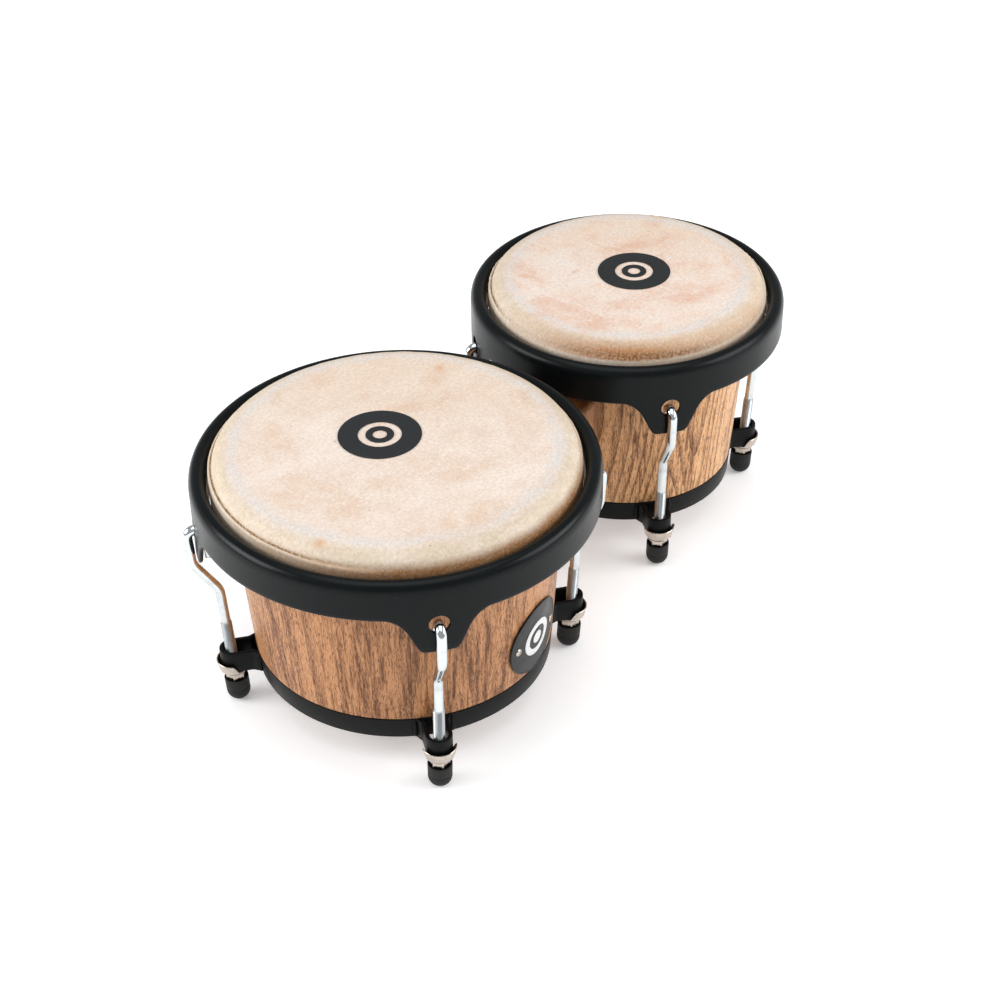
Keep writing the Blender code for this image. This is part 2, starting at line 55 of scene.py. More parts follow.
# Sizes that the CAD model shares
FOOT_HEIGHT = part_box("shell_large")[0].z
BLOCK_AT = (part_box("shell_large")[0].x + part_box("shell_small")[1].x) / 2
SHELL_TAPER = 0.0765
SHELL_HEIGHT = 146.2 * MM
SHELL_WALL = 9.0 * MM
RING_HEIGHT = 14.4 * MM
RING_THICK = 2.5 * MM
LUG_INSET = 14.9 * MM
SKIN_TOP = 148.0 * MM
SKIN_THICK = 1.2 * MM
SKIN_SHOULDER = 14.5 * MM
COLLAR_BOTTOM = 117.5 * MM
HOOP_BOTTOM = 119.0 * MM
RIM_BAND_TOP = 131.0 * MM
RIM_TOP = 138.0 * MM
RIM_LIP_BOTTOM = 126.0 * MM
RIM_THICK = 2.6 * MM
RIM_ROLL_WIDTH = 10.2 * MM
EAR_HOLE_HEIGHT = 108.5 * MM
EAR_HOLE_RADIUS = 6.0 * MM
# Distance from an ear's middle along the band, and height of the lower edge, in mm
EAR_OUTLINE = ((0.0, 89.0), (9.6, 89.0), (11.2, 89.9), (13.0, 93.0), (15.7, 99.0), (18.8, 105.5),
               (23.5, 110.5), (29.0, 113.0))
ROD_RADIUS = 3.1 * MM
THREAD_RADIUS = 3.55 * MM
THREAD_BOTTOM = -13.5 * MM
THREAD_TOP = 36.0 * MM
THREAD_PITCH = 1.0 * MM
JOG = ((0.0, 60.5), (12.9, 83.0))
JOG_ROUND = 15.0 * MM
HOOK_BEND_HEIGHT = 102.2 * MM
HOOK_BEND_RADIUS = 5.3 * MM
HOOK_STUB_END = 86.5 * MM
BORE_RADIUS = 4.1 * MM
NUT_TOP = -2.9 * MM
NUT_BOTTOM = -12.0 * MM
NUT_HALF_FLATS = 5.5 * MM
NUT_HALF_CORNERS = 6.25 * MM
BOOT_TOP = -8.5 * MM
BOOT_RADIUS = 7.4 * MM
BADGE_ANGLE = -83.8
BADGE_HEIGHT = 41.0 * MM
BADGE_RADIUS = 25.0 * MM
BADGE_SCREW_OFFSET = 18.5 * MM
BLOCK_HALF_WIDTH = 28.0 * MM
BLOCK_BOTTOM = 30.0 * MM
BLOCK_TOP = 98.0 * MM
BLOCK_BOLT_HEIGHTS = (46.0 * MM, 82.0 * MM)

# Camera
CAMERA_AT = (-0.88062, -0.66271, 0.87662)
CAMERA_YAW = 37.321
CAMERA_PITCH = 36.322
CAMERA_ROLL = -0.786
CAMERA_LENS = 75.905


# Node helpers

class Look:
    """A Principled material whose nodes are added by short calls."""

    def __init__(self, name, **settings):
        self.material = bpy.data.materials.new(name)
        self.material.use_nodes = True
        self.tree = self.material.node_tree
        self.shader = self.tree.nodes["Principled BSDF"]
        for key, value in settings.items():
            self.shader.inputs[key.replace("_", " ")].default_value = value
        self.place = self.node("ShaderNodeTexCoord").outputs["Object"]

    def node(self, kind, **settings):
        item = self.tree.nodes.new(kind)
        for key, value in settings.items():
            setattr(item, key, value)
        return item

    def feed(self, socket, value):
        if isinstance(value, bpy.types.NodeSocket):
            self.tree.links.new(value, socket)
        else:
            socket.default_value = value

    def set(self, name, value):
        self.feed(self.shader.inputs[name], value)

    def math(self, operation, first, second=0.0, clamp=False):
        item = self.node("ShaderNodeMath", operation=operation, use_clamp=clamp)
        self.feed(item.inputs[0], first)
        self.feed(item.inputs[1], second)
        return item.outputs[0]

    def times(self, first, second):
        return self.math("MULTIPLY", first, second)

    def stretched(self, factors, vector=None):
        item = self.node("ShaderNodeVectorMath", operation="MULTIPLY")
        self.feed(item.inputs[0], vector or self.place)
        item.inputs[1].default_value = factors
        return item.outputs[0]

    def along(self, direction):
        item = self.node("ShaderNodeVectorMath", operation="DOT_PRODUCT")
        self.feed(item.inputs[0], self.place)
        item.inputs[1].default_value = direction
        return item.outputs["Value"]

    def noise(self, scale, detail=3.0, rough=0.55, vector=None, distortion=0.0):
        item = self.node("ShaderNodeTexNoise")
        self.feed(item.inputs["Vector"], vector or self.place)
        item.inputs["Scale"].default_value = scale
        item.inputs["Detail"].default_value = detail
        item.inputs["Roughness"].default_value = rough
        item.inputs["Distortion"].default_value = distortion
        return item.outputs["Fac"]

    def cells(self, scale, vector=None):
        item = self.node("ShaderNodeTexVoronoi")
        self.feed(item.inputs["Vector"], vector or self.place)
        item.inputs["Scale"].default_value = scale
        return item.outputs["Distance"]

    def step(self, value, low, high, out_low=0.0, out_high=1.0):
        item = self.node("ShaderNodeMapRange", interpolation_type="SMOOTHSTEP")
        for index, number in enumerate((value, low, high, out_low, out_high)):
            self.feed(item.inputs[index], number)
        return item.outputs[0]

    def ramp(self, factor, stops):
        item = self.node("ShaderNodeValToRGB")
        self.feed(item.inputs[0], factor)
        elements = item.color_ramp.elements
        while len(elements) < len(stops):
            elements.new(0.5)
        for element, (position, color) in zip(elements, stops):
            element.position = position
            element.color = (*color, 1)
        return item.outputs[0]

    def mix(self, factor, first, second, blend="MIX"):
        item = self.node("ShaderNodeMix", data_type="RGBA", blend_type=blend)
        self.feed(item.inputs[0], factor)
        for index, value in ((6, first), (7, second)):
            if isinstance(value, tuple):
                value = (*value, 1.0)
            self.feed(item.inputs[index], value)
        return item.outputs[2]

    def attribute(self, name):
        return self.node("ShaderNodeAttribute", attribute_name=name).outputs["Fac"]

    def bump(self, height, strength, distance=0.001):
        item = self.node("ShaderNodeBump")
        item.inputs["Strength"].default_value = strength
        item.inputs["Distance"].default_value = distance
        self.feed(item.inputs["Height"], height)
        earlier = self.shader.inputs["Normal"]
        if earlier.is_linked:
            self.feed(item.inputs["Normal"], earlier.links[0].from_socket)
        self.feed(earlier, item.outputs[0])


# Materials

def wood_look(name, light, middle, dark, rings, ring_share, pores):
    """Open-pored hardwood: wandering growth lines, fine upright fibres and rows of pores."""
    look = Look(name, Specular_IOR_Level=0.3)
    sway = look.noise(9.0, 1.0, vector=look.stretched((1, 1, 0.5)))
    warped = look.node("ShaderNodeVectorMath", operation="ADD")
    look.feed(warped.inputs[0], look.place)
    look.feed(warped.inputs[1], look.stretched((0.014, 0.014, 0), sway))
    along = warped.outputs[0]
    field = look.noise(11.0, 1.0, 0.45, look.stretched((1, 1, 0.16), along))
    tooth = look.step(look.math("FRACT", look.times(field, rings)), 0.45, 1.0)
    broad = look.noise(32.0, 3.0, 0.6, look.stretched((1, 1, 0.14), along))
    fine = look.noise(560.0, 4.0, 0.65, look.stretched((1, 1, 0.02), along))
    tone = look.math("ADD", look.times(broad, 0.36), look.times(fine, 0.64))
    color = look.ramp(tone, ((0.38, dark), (0.46, middle), (0.56, light), (0.64, middle)))
    color = look.mix(look.times(tooth, ring_share), color, dark)
    pore = look.noise(2300.0, 2.0, 0.6, look.stretched((1, 1, 0.10), along))
    lift = look.times(look.math("SUBTRACT", 0.5, tone), 0.35)
    reach = look.math("ADD", look.math("ADD", pore, look.times(tooth, 0.07)), lift)
    holes = look.step(reach, pores, pores + 0.05)
    pit = tuple(channel * 0.5 for channel in dark)
    color = look.mix(look.times(holes, 0.72), color, pit)
    look.set("Base Color", color)
    look.set("Roughness", look.step(holes, 0.0, 1.0, 0.36, 0.6))
    look.bump(look.math("SUBTRACT", 1.0, holes), 0.4, 0.0003)
    look.bump(fine, 0.2, 0.0003)
    return look.material


def skin_look(name, cream, pink, pale, stain, dusk, speckle):
    """Rawhide: cream with pink patches, a cool band at the shoulder and a stained edge, with
    painted shade on the back half, just above the rim and in the crease.
    """
    look = Look(name, Specular_IOR_Level=0.3)
    patches = look.noise(14.0, 4.0, 0.62, distortion=0.8)
    mottle = look.noise(75.0, 5.0, 0.7, distortion=0.5)
    grain = look.noise(480.0, 4.0, 0.75)
    color = look.ramp(patches, ((0.36, pale), (0.5, cream), (0.64, pink)))
    color = look.mix(look.step(mottle, 0.44, 0.66, 0.0, 0.6), color, pale)
    clouds = look.noise(38.0, 5.0, 0.75, distortion=1.4)
    color = look.mix(look.step(clouds, 0.54, 0.7, 0.0, dusk), color, pink)
    veins = look.noise(30.0, 4.0, 0.7, look.stretched((1, 0.3, 1)), 1.0)
    color = look.mix(look.step(veins, 0.56, 0.7, 0.0, dusk), color, (0.80, 0.70, 0.63))
    scratch = look.noise(330.0, 3.0, 0.75, look.stretched((1, 0.14, 1)), 0.6)
    color = look.mix(look.step(scratch, 0.56, 0.7, 0.0, 0.7 * dusk), color, (0.83, 0.75, 0.68))
    # Painted shade: the back half of each head, away from the camera, is multiplied darker
    back_shade = look.step(look.along((0.795, 0.606, 0)), -0.02, 0.085, 0.0, 0.75)
    color = look.mix(back_shade, color, (0.93, 0.87, 0.79), "MULTIPLY")
    edge = look.noise(650.0, 3.0, 0.7)
    dots = look.noise(620.0, 2.0, 0.6)
    for mark, pattern, low, high, least, most, paint in (
            ("band", mottle, 0.32, 0.6, 0.3, 0.85, (0.66, 0.62, 0.585)),
            ("shoulder", clouds, 0.35, 0.6, 0.45, 0.9, (0.64, 0.53, 0.395)),
            ("stain", edge, 0.32, 0.62, 0.7, 1.0, stain),
            # Painted shade: dark brown where the skin drops towards the rim
            ("rim_shade", edge, 0.4, 0.58, 0.15, 0.9, (0.16, 0.07, 0.025)),
            # Painted shade: dark brown along the crease's valley
            ("crease", dots, 0.38, 0.58, 0.25, 1.0, (0.27, 0.14, 0.04)),
            ("knot", grain, 0.3, 0.6, 0.3, 0.9, (0.62, 0.29, 0.11))):
        share = look.times(look.attribute(mark), look.step(pattern, low, high, least, most))
        color = look.mix(share, color, paint)
    specks = look.step(look.cells(120.0), 0.03, 0.07, 1.0, 0.0)
    rare = look.step(look.noise(27.0, 1.0), speckle, speckle + 0.05)
    color = look.mix(look.times(specks, look.times(rare, 0.85)), color, (0.2, 0.12, 0.07))
    tint = look.node("ShaderNodeVectorMath", operation="SCALE")
    look.feed(tint.inputs[0], color)
    look.feed(tint.inputs[3], look.step(grain, 0.32, 0.7, 0.86, 1.07))
    look.set("Base Color", tint.outputs[0])
    look.set("Roughness", look.step(mottle, 0.3, 0.7, 0.5, 0.72))
    look.bump(grain, 0.35, 0.0005)
    look.bump(mottle, 0.35, 0.0012)
    return look.material


def coated_steel_look(name, color, roughness, texture, gloss):
    """Black powder coat: satin, with a very fine orange peel and a few dull patches."""
    look = Look(name, Specular_IOR_Level=gloss)
    peel = look.noise(1400.0, 2.0, 0.5)
    worn = look.noise(30.0, 3.0, 0.6)
    look.set("Roughness", look.step(worn, 0.3, 0.7, roughness - 0.03, roughness + 0.05))
    dusty = look.step(worn, 0.45, 0.8, 0.0, 1.0)
    look.set("Base Color", look.mix(dusty, color, tuple(channel * 1.35 for channel in color)))
    look.bump(peel, texture, 0.0002)
    return look.material


def metal_look(name, color, low, high, scratch):
    """Plated metal with small changes of gloss and fine handling marks."""
    look = Look(name, Metallic=1.0)
    smear = look.noise(160.0, 3.0, 0.6)
    look.set("Roughness", look.step(smear, 0.3, 0.7, low, high))
    darker = tuple(channel * 0.82 for channel in color)
    look.set("Base Color", look.mix(look.step(smear, 0.45, 0.75), color, darker))
    look.bump(look.noise(700.0, 2.0, 0.5), scratch, 0.0003)
    return look.material


def rubber_look():
    look = Look("rubber_boot", Specular_IOR_Level=0.25)
    blotch = look.noise(220.0, 4.0, 0.7)
    flow = look.noise(500.0, 2.0, 0.5, look.stretched((1, 1, 0.15)))
    look.set("Base Color", look.ramp(blotch, ((0.35, (0.007, 0.007, 0.007)),
                                              (0.75, (0.024, 0.023, 0.022)))))
    look.set("Roughness", look.step(blotch, 0.3, 0.7, 0.5, 0.75))
    look.bump(blotch, 0.35, 0.0005)
    look.bump(flow, 0.2, 0.0004)
    return look.material


def film_look(name, color, roughness):
    """Printed film or paint with a fine linen-like texture."""
    look = Look(name, Specular_IOR_Level=0.25)
    weave = look.noise(900.0, 3.0, 0.7)
    cloud = look.noise(60.0, 3.0, 0.6)
    brighter = tuple(channel * 1.5 for channel in color)
    look.set("Base Color", look.mix(look.step(weave, 0.4, 0.7, 0.0, 0.7), color, brighter))
    look.set("Roughness", look.step(cloud, 0.3, 0.7, roughness - 0.06, roughness + 0.08))
    look.bump(weave, 0.3, 0.0003)
    return look.material


LOOKS = {
    "wood_large": wood_look("walnut_shell_large", (0.565, 0.275, 0.12), (0.405, 0.178, 0.072),
                            (0.16, 0.06, 0.022), 11.0, 0.38, 0.545),
    "wood_small": wood_look("walnut_shell_small", (0.77, 0.44, 0.215), (0.61, 0.315, 0.137),
                            (0.18, 0.068, 0.024), 34.0, 0.62, 0.555),
    "block": wood_look("walnut_block", (0.50, 0.25, 0.12), (0.34, 0.155, 0.065),
                       (0.14, 0.055, 0.02), 9.0, 0.4, 0.57),
    "skin_large": skin_look("rawhide_large", (0.765, 0.635, 0.54), (0.715, 0.55, 0.43),
                            (0.80, 0.70, 0.615), (0.33, 0.145, 0.042), 0.35, 0.60),
    "skin_small": skin_look("rawhide_small", (0.785, 0.635, 0.53), (0.72, 0.485, 0.37),
                            (0.78, 0.685, 0.61), (0.37, 0.155, 0.045), 0.75, 0.58),
    "black": coated_steel_look("black_powder_coat", (0.0030, 0.0044, 0.0047), 0.29, 0.08, 0.14),
    "ring": coated_steel_look("black_ring_coat", (0.0042, 0.0048, 0.0048), 0.42, 0.25, 0.12),
    "chrome": metal_look("chrome_rod", (0.66, 0.70, 0.71), 0.04, 0.10, 0.02),
    "thread": metal_look("dull_thread", (0.47, 0.50, 0.51), 0.28, 0.42, 0.15),
    "nickel": metal_look("warm_nickel", (0.56, 0.495, 0.43), 0.16, 0.34, 0.12),
    "zinc": metal_look("zinc_plate", (0.62, 0.62, 0.60), 0.3, 0.45, 0.15),
    "rubber": rubber_look(),
    "mark": film_look("mark_film", (0.016, 0.018, 0.019), 0.6),
    "badge": film_look("badge_enamel", (0.013, 0.014, 0.015), 0.36),
    "badge_symbol": film_look("badge_symbol_paint", (0.62, 0.62, 0.61), 0.4),
    "fibre": film_look("skin_fibre", (0.60, 0.50, 0.39), 0.6),
    "brown_fibre": film_look("brown_skin_fibre", (0.24, 0.12, 0.05), 0.6),
}


# Shape helpers

def arc(centre, radius, start, end, steps):
    points = []
    for step in range(steps + 1):
        angle = radians(start + (end - start) * step / steps)
        points.append((centre[0] + radius * cos(angle), centre[1] + radius * sin(angle)))
    return points


def strip_faces(columns, rows, around, section):
    """Quads between neighbouring columns of vertices that are numbered column by column."""
    faces = []
    for column in range(columns if around else columns - 1):
        left = column * rows
        right = (column + 1) % columns * rows
        for row in range(rows if section else rows - 1):
            after = (row + 1) % rows
            faces.append((left + row, right + row, right + after, left + after))
    return faces


def make_mesh(name, points, faces, sharp=40):
    mesh = bpy.data.meshes.new(name)
    mesh.from_pydata(points, [], faces)
    bm = bmesh.new()
    bm.from_mesh(mesh)
    bmesh.ops.remove_doubles(bm, verts=bm.verts[:], dist=1e-7)
    bmesh.ops.recalc_face_normals(bm, faces=bm.faces[:])
    bm.to_mesh(mesh)
    bm.free()
    mesh.shade_smooth()
    mesh.set_sharp_from_angle(angle=radians(sharp))
    return mesh


def turned(name, columns, section_at, closed=True, sharp=40, start=0.0):
    """A shape round Z. section_at(angle) gives its (r, z) section at one bearing."""
    points = []
    rows = 0
    for column in range(columns):
        angle = 2 * pi * (column + start) / columns
        section = section_at(angle)
        rows = len(section)
        points += [(r * cos(angle), r * sin(angle), z) for r, z in section]
    return make_mesh(name, points, strip_faces(columns, rows, True, closed), sharp)


def lathe(name, profile, segments=160, closed=True, sharp=40):
    """The same (r, z) profile at every bearing."""
    return turned(name, segments, lambda angle: profile, closed, sharp, 0.5)


def rounded(corners, radius, steps=3):
    """A closed outline with every corner rounded, as 2D points."""
    outline = []
    count = len(corners)
    for index in range(count):
        corner = Vector(corners[index])
        before = Vector(corners[index - 1])
        after = Vector(corners[(index + 1) % count])
        outline += bend(corner, before, after, radius, steps)
    return outline


def bend(corner, before, after, radius, steps):
    """A round corner of a path: corner, and the points that it lies between."""
    corner = Vector(corner)
    back = (Vector(before) - corner).normalized()
    ahead = (Vector(after) - corner).normalized()
    half = back.angle(ahead) / 2
    reach = radius / tan(half)
    start = corner + back * reach
    end = corner + ahead * reach
    centre = corner + (back + ahead).normalized() * (radius / sin(half))
    points = []
    for step in range(steps + 1):
        chord = start.lerp(end, step / steps) - centre
        points.append(tuple(centre + chord.normalized() * radius))
    return points


def prism(name, outline, bottom, top, edge):
    """A closed outline drawn up from bottom to top, with its top and bottom edges bevelled."""
    count = len(outline)
    points = [(x, y, bottom) for x, y in outline] + [(x, y, top) for x, y in outline]
    faces = [tuple(range(count)), tuple(range(count, 2 * count))]
    for index in range(count):
        after = (index + 1) % count
        faces.append((index, after, after + count, index + count))
    mesh = make_mesh(name, points, faces)
    bm = bmesh.new()
    bm.from_mesh(mesh)
    rims = [e for e in bm.edges if abs(e.verts[0].co.z - e.verts[1].co.z) < 1e-6]
    bmesh.ops.bevel(bm, geom=rims, offset=edge, segments=3, profile=0.5, affect="EDGES")
    bm.to_mesh(mesh)
    bm.free()
    mesh.shade_smooth()
    mesh.set_sharp_from_angle(angle=radians(35))
    return mesh


def add_object(name, data):
    item = bpy.data.objects.new(name, data)
    bpy.context.scene.collection.objects.link(item)
    return item


def add_piece(name, mesh, look, place, replaces=(), body="drums"):
    """A piece with the look of that name, at its place, riding on a body of the frame."""
    item = add_object(name, mesh)
    if not mesh.materials:
        mesh.materials.append(LOOKS[look])
    item.matrix_world = place
    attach(item, body)
    if replaces:
        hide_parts(*replaces)
    return item


def cut(item, tool_mesh, place):
    """Cuts a tool's shape out of a piece's own mesh."""
    tool = add_object("cutting tool", tool_mesh)
    tool.matrix_world = place
    modifier = item.modifiers.new("cut", "BOOLEAN")
    modifier.operation = "DIFFERENCE"
    modifier.solver = "EXACT"
    modifier.object = tool
    bpy.context.view_layer.update()
    evaluated = item.evaluated_get(bpy.context.evaluated_depsgraph_get())
    mesh = bpy.data.meshes.new_from_object(evaluated)
    item.modifiers.remove(modifier)
    item.data = mesh
    bpy.data.objects.remove(tool)
    mesh.shade_smooth()
    mesh.set_sharp_from_angle(angle=radians(40))


def wander(angle, speed, seed, height=0.0):
    """Smooth noise round a drum, from about -1 to 1."""
    point = (cos(angle) * speed + seed, sin(angle) * speed, height)
    return noise.noise(Vector(point)) * 1.6


def hump(angle, centre, spread):
    """1 at one bearing of a drum, falling to 0 at spread degrees from it."""
    off = abs((degrees(angle) - centre + 180) % 360 - 180)
    share = max(0.0, 1 - off / spread)
    return share * share * (3 - 2 * share)


# What each drum is, worked out from the frame's joints

class Drum:
    def __init__(self, label):
        self.label = label
        self.lugs = [j for j in frame["joints"] if j["name"].startswith(f"nut_{label}_")]
        places = [Vector(j["pos_m"]) for j in self.lugs]
        self.centre = sum(places, Vector()) / len(places)
        self.rim = (places[0] - self.centre).length + LUG_INSET
        self.shell = self.rim - (30.9 * MM if label == "large" else 30.6 * MM)
        self.collar = self.rim - 11.8 * MM
        self.place = Matrix.Translation(self.centre)

    def wall(self, height):
        return self.shell + SHELL_TAPER * height

    def lug_places(self):
        """For each lug: its number, the upright frame at its foot, and the leaning one."""
        for joint in self.lugs:
            number = int(joint["name"].split("_")[2])
            foot = Vector(joint["pos_m"])
            out = (foot - self.centre).normalized()
            axis = Vector(joint["axis"]).normalized()
            upright = Matrix((out, UP.cross(out), UP)).transposed().to_4x4()
            side = axis.cross(out).normalized()
            leaning = Matrix((side.cross(axis), side, axis)).transposed().to_4x4()
            upright.translation = foot
            leaning.translation = foot
            yield number, upright, leaning


# Shells, rings, brackets

def build_shell(drum):
    rebate = RING_HEIGHT + 0.3 * MM
    top = drum.wall(140 * MM)
    profile = [
        (drum.wall(0) - SHELL_WALL + 0.6 * MM, 0.0),
        (drum.wall(0) - RING_THICK - 0.4 * MM, 0.0),
        (drum.wall(0) - RING_THICK, 0.4 * MM),
        (drum.wall(rebate) - RING_THICK, rebate),
        (drum.wall(rebate) - 0.5 * MM, rebate),
        (drum.wall(rebate) - 0.1 * MM, rebate + 0.15 * MM),
        (drum.wall(rebate), rebate + 0.5 * MM),
    ]
    steps = 14
    for step in range(1, steps):
        height = rebate + (SHELL_HEIGHT - 6 * MM - rebate) * step / steps
        profile.append((drum.wall(height), height))
    profile += arc((top - 6 * MM, SHELL_HEIGHT - 6 * MM), 6 * MM, 0, 90, 8)
    profile += [(top - SHELL_WALL + 0.8 * MM, SHELL_HEIGHT - 1.6 * MM),
                (top - SHELL_WALL, SHELL_HEIGHT - 2.6 * MM)]
    for step in range(1, 8):
        height = (SHELL_HEIGHT - 2.6 * MM) * (1 - step / 8)
        profile.append((drum.wall(height) - SHELL_WALL, height))
    profile.append((drum.wall(0) - SHELL_WALL, 0.6 * MM))
    mesh = lathe("shell", profile, 200)
    add_piece(f"wood_shell_{drum.label}", mesh, f"wood_{drum.label}",
              drum.place, [f"shell_{drum.label}"])


def build_ring(drum):
    """The foot ring, its four U brackets and the weld beads that hold them."""
    outer = drum.shell + 0.3 * MM
    slope = SHELL_TAPER * RING_HEIGHT
    corners = [(outer - RING_THICK, 0.0), (outer, 0.0), (outer + slope, RING_HEIGHT),
               (outer + slope - RING_THICK, RING_HEIGHT)]
    ring = lathe("ring", rounded(corners, 0.5 * MM), 200)
    add_piece(f"foot_ring_{drum.label}", ring, "ring", drum.place,
              [f"ring_{drum.label}"])
    reach = drum.rim - LUG_INSET - drum.shell - 0.2 * MM
    wide = 8.0 * MM
    narrow = 5.5 * MM
    flare = 3.0 * MM

    def strap(half, foot, heel, radius):
        """One face of the U: from its foot on the ring, round the bolt, and back."""
        side = [(-reach - foot, -half - flare)]
        side += bend((-reach + heel, -half), (-reach, -half - flare), (0, -half), radius, 5)
        return side + arc((0, 0), half, -90, 90, 28) + [(x, -y) for x, y in reversed(side)]

    outline = strap(wide, 0.7 * MM, 4.5 * MM, 4 * MM)
    outline += reversed(strap(narrow, 0.4 * MM, 3.5 * MM, 3 * MM))
    bracket = prism("bracket", outline, 0.0, RING_HEIGHT, 0.45 * MM)
    bead = weld_mesh()
    for number, upright, _ in drum.lug_places():
        add_piece(f"bracket_{drum.label}_{number}", bracket, "ring", upright)
        for side, word in ((-1, "right"), (1, "left")):
            at = upright @ Matrix.Translation((-reach + 0.4 * MM, side * (wide + flare), 0))
            add_piece(f"weld_{drum.label}_{number}_{word}", bead, "ring", at)


def weld_mesh():
    """A small upright bead with the ripples of a weld."""
    points = []
    rows = 24
    sides = 10
    for row in range(rows):
        share = row / (rows - 1)
        height = 0.9 * MM + (RING_HEIGHT - 1.8 * MM) * share
        swell = min(1.0, 5 * share, 5 * (1 - share)) ** 0.5
        radius = (0.15 + 1.15 * swell) * MM * (1 + 0.16 * sin(row * 2.1))
        for side in range(sides):
            angle = 2 * pi * side / sides
            points.append((radius * cos(angle), radius * 1.3 * sin(angle), height))
    faces = strip_faces(rows, sides, False, True)
    faces += [tuple(range(sides)), tuple(range((rows - 1) * sides, rows * sides))]
    return make_mesh("weld", points, faces, 80)


# Rims

def smooth_height(offset):
    """Height of the band's lower edge at a distance from an ear's middle, in mm."""
    offset = abs(offset)
    for (left, low), (right, high) in zip(EAR_OUTLINE, EAR_OUTLINE[1:]):
        if offset <= right:
            share = (offset - left) / (right - left)
            return low + (high - low) * share
    return EAR_OUTLINE[-1][1]


def rounded_height(offset):
    """The same, with its corners eased by averaging over a short stretch."""
    reach = 1.6
    samples = [smooth_height(offset + reach * (step - 4) / 4) for step in range(9)]
    return sum(samples) / len(samples)


def build_rim(drum):
    outer = drum.rim
    half = RIM_ROLL_WIDTH / 2
    middle = outer - half
    rise = RIM_TOP - RIM_BAND_TOP
    lug_angles = [atan2(*(Vector(j["pos_m"]) - drum.centre).yx) for j in drum.lugs]
    lug_angles.sort()
    angles = []
    ear = 32 * MM / outer
    for index, lug in enumerate(lug_angles):
        following = lug_angles[(index + 1) % 4] + (2 * pi if index == 3 else 0)
        for step in range(64):
            angles.append((lug - ear + 2 * ear * step / 64, (-32 + step) * 1.0))
        gap = following - lug - 2 * ear
        for step in range(36):
            angles.append((lug + ear + gap * step / 36, 99.0))
    edge = RIM_THICK / 2
    wall_rows = 9
    over = []
    for step in range(17):
        turn = pi * step / 16
        over.append((middle + half * cos(turn), RIM_BAND_TOP + rise * sin(turn)))
    lip_low = RIM_LIP_BOTTOM + edge
    over += arc((outer - 2 * half + edge, lip_low), edge, 180, 360, 8)
    for step in range(13):
        turn = pi * (1 - step / 12)
        over.append((middle + (half - RIM_THICK) * cos(turn),
                     RIM_BAND_TOP + (rise - RIM_THICK) * sin(turn)))
    points = []
    rows = 0
    for angle, offset in angles:
        low = rounded_height(offset) * MM + edge
        section = []
        for step in range(wall_rows):
            height = low + (RIM_BAND_TOP - low) * step / wall_rows
            section.append((outer, height))
        section += over
        for step in range(1, wall_rows + 1):
            height = RIM_BAND_TOP + (low - RIM_BAND_TOP) * step / wall_rows
            section.append((outer - RIM_THICK, height))
        section += arc((outer - edge, low), edge, 180, 360, 6)[1:-1]
        rows = len(section)
        points += [(r * cos(angle), r * sin(angle), z) for r, z in section]
    mesh = make_mesh("rim", points, strip_faces(len(angles), rows, True, True))
    rim = add_piece(f"rolled_rim_{drum.label}", mesh, "black", drum.place,
                    [f"rim_{drum.label}"], f"rim_{drum.label}")
    radius = EAR_HOLE_RADIUS
    flare = [(0.0, -3.4 * MM), (radius + 0.9 * MM, -3.4 * MM), (radius, -2.0 * MM),
             (radius, -0.6 * MM), (radius + 0.25 * MM, -0.1 * MM), (radius + 0.9 * MM, 0.5 * MM),
             (radius + 2 * MM, 3 * MM), (0.0, 3 * MM)]
    tool = lathe("ear hole", flare, 48, closed=False)
    for lug in lug_angles:
        out = Matrix.Rotation(lug, 4, "Z") @ Matrix.Translation((outer, 0, EAR_HOLE_HEIGHT))
        cut(rim, tool, drum.place @ out @ Matrix.Rotation(pi / 2, 4, "Y"))


# Skins

SKINS = {
    # Bearings and spreads (degrees) with strengths of each head's features; the crease strengths
    # also set the crease's painted shade, and one more list places painted shade just above the
    # rim
    "large": {"seed": 3.1, "crease": ((158, 80, 1.0), (-35, 38, 0.5), (75, 60, 0.6)),
              "stain": ((-85, 75, 1.0), (-145, 65, 0.85)), "rim_shade": (),
              "knots": ((-165, 101), (20, 84)), "stain_top": 142.6, "stain_fade": 4.8,
              "stain_bottom": 120.0, "ragged": 0.12},
    "small": {"seed": 8.7, "crease": ((125, 42, 1.0), (-30, 40, 0.9), (-150, 80, 0.3)),
              "stain": ((-146, 62, 1.0), (-85, 40, 0.4)), "rim_shade": ((-138, 48, 1.0),),
              "knots": (), "stain_top": 149.2, "stain_fade": 6.0, "stain_bottom": 137.4,
              "ragged": 0.45},
}


def strength(angle, humps):
    return min(1.0, sum(hump(angle, centre, spread) * top for centre, spread, top in humps))


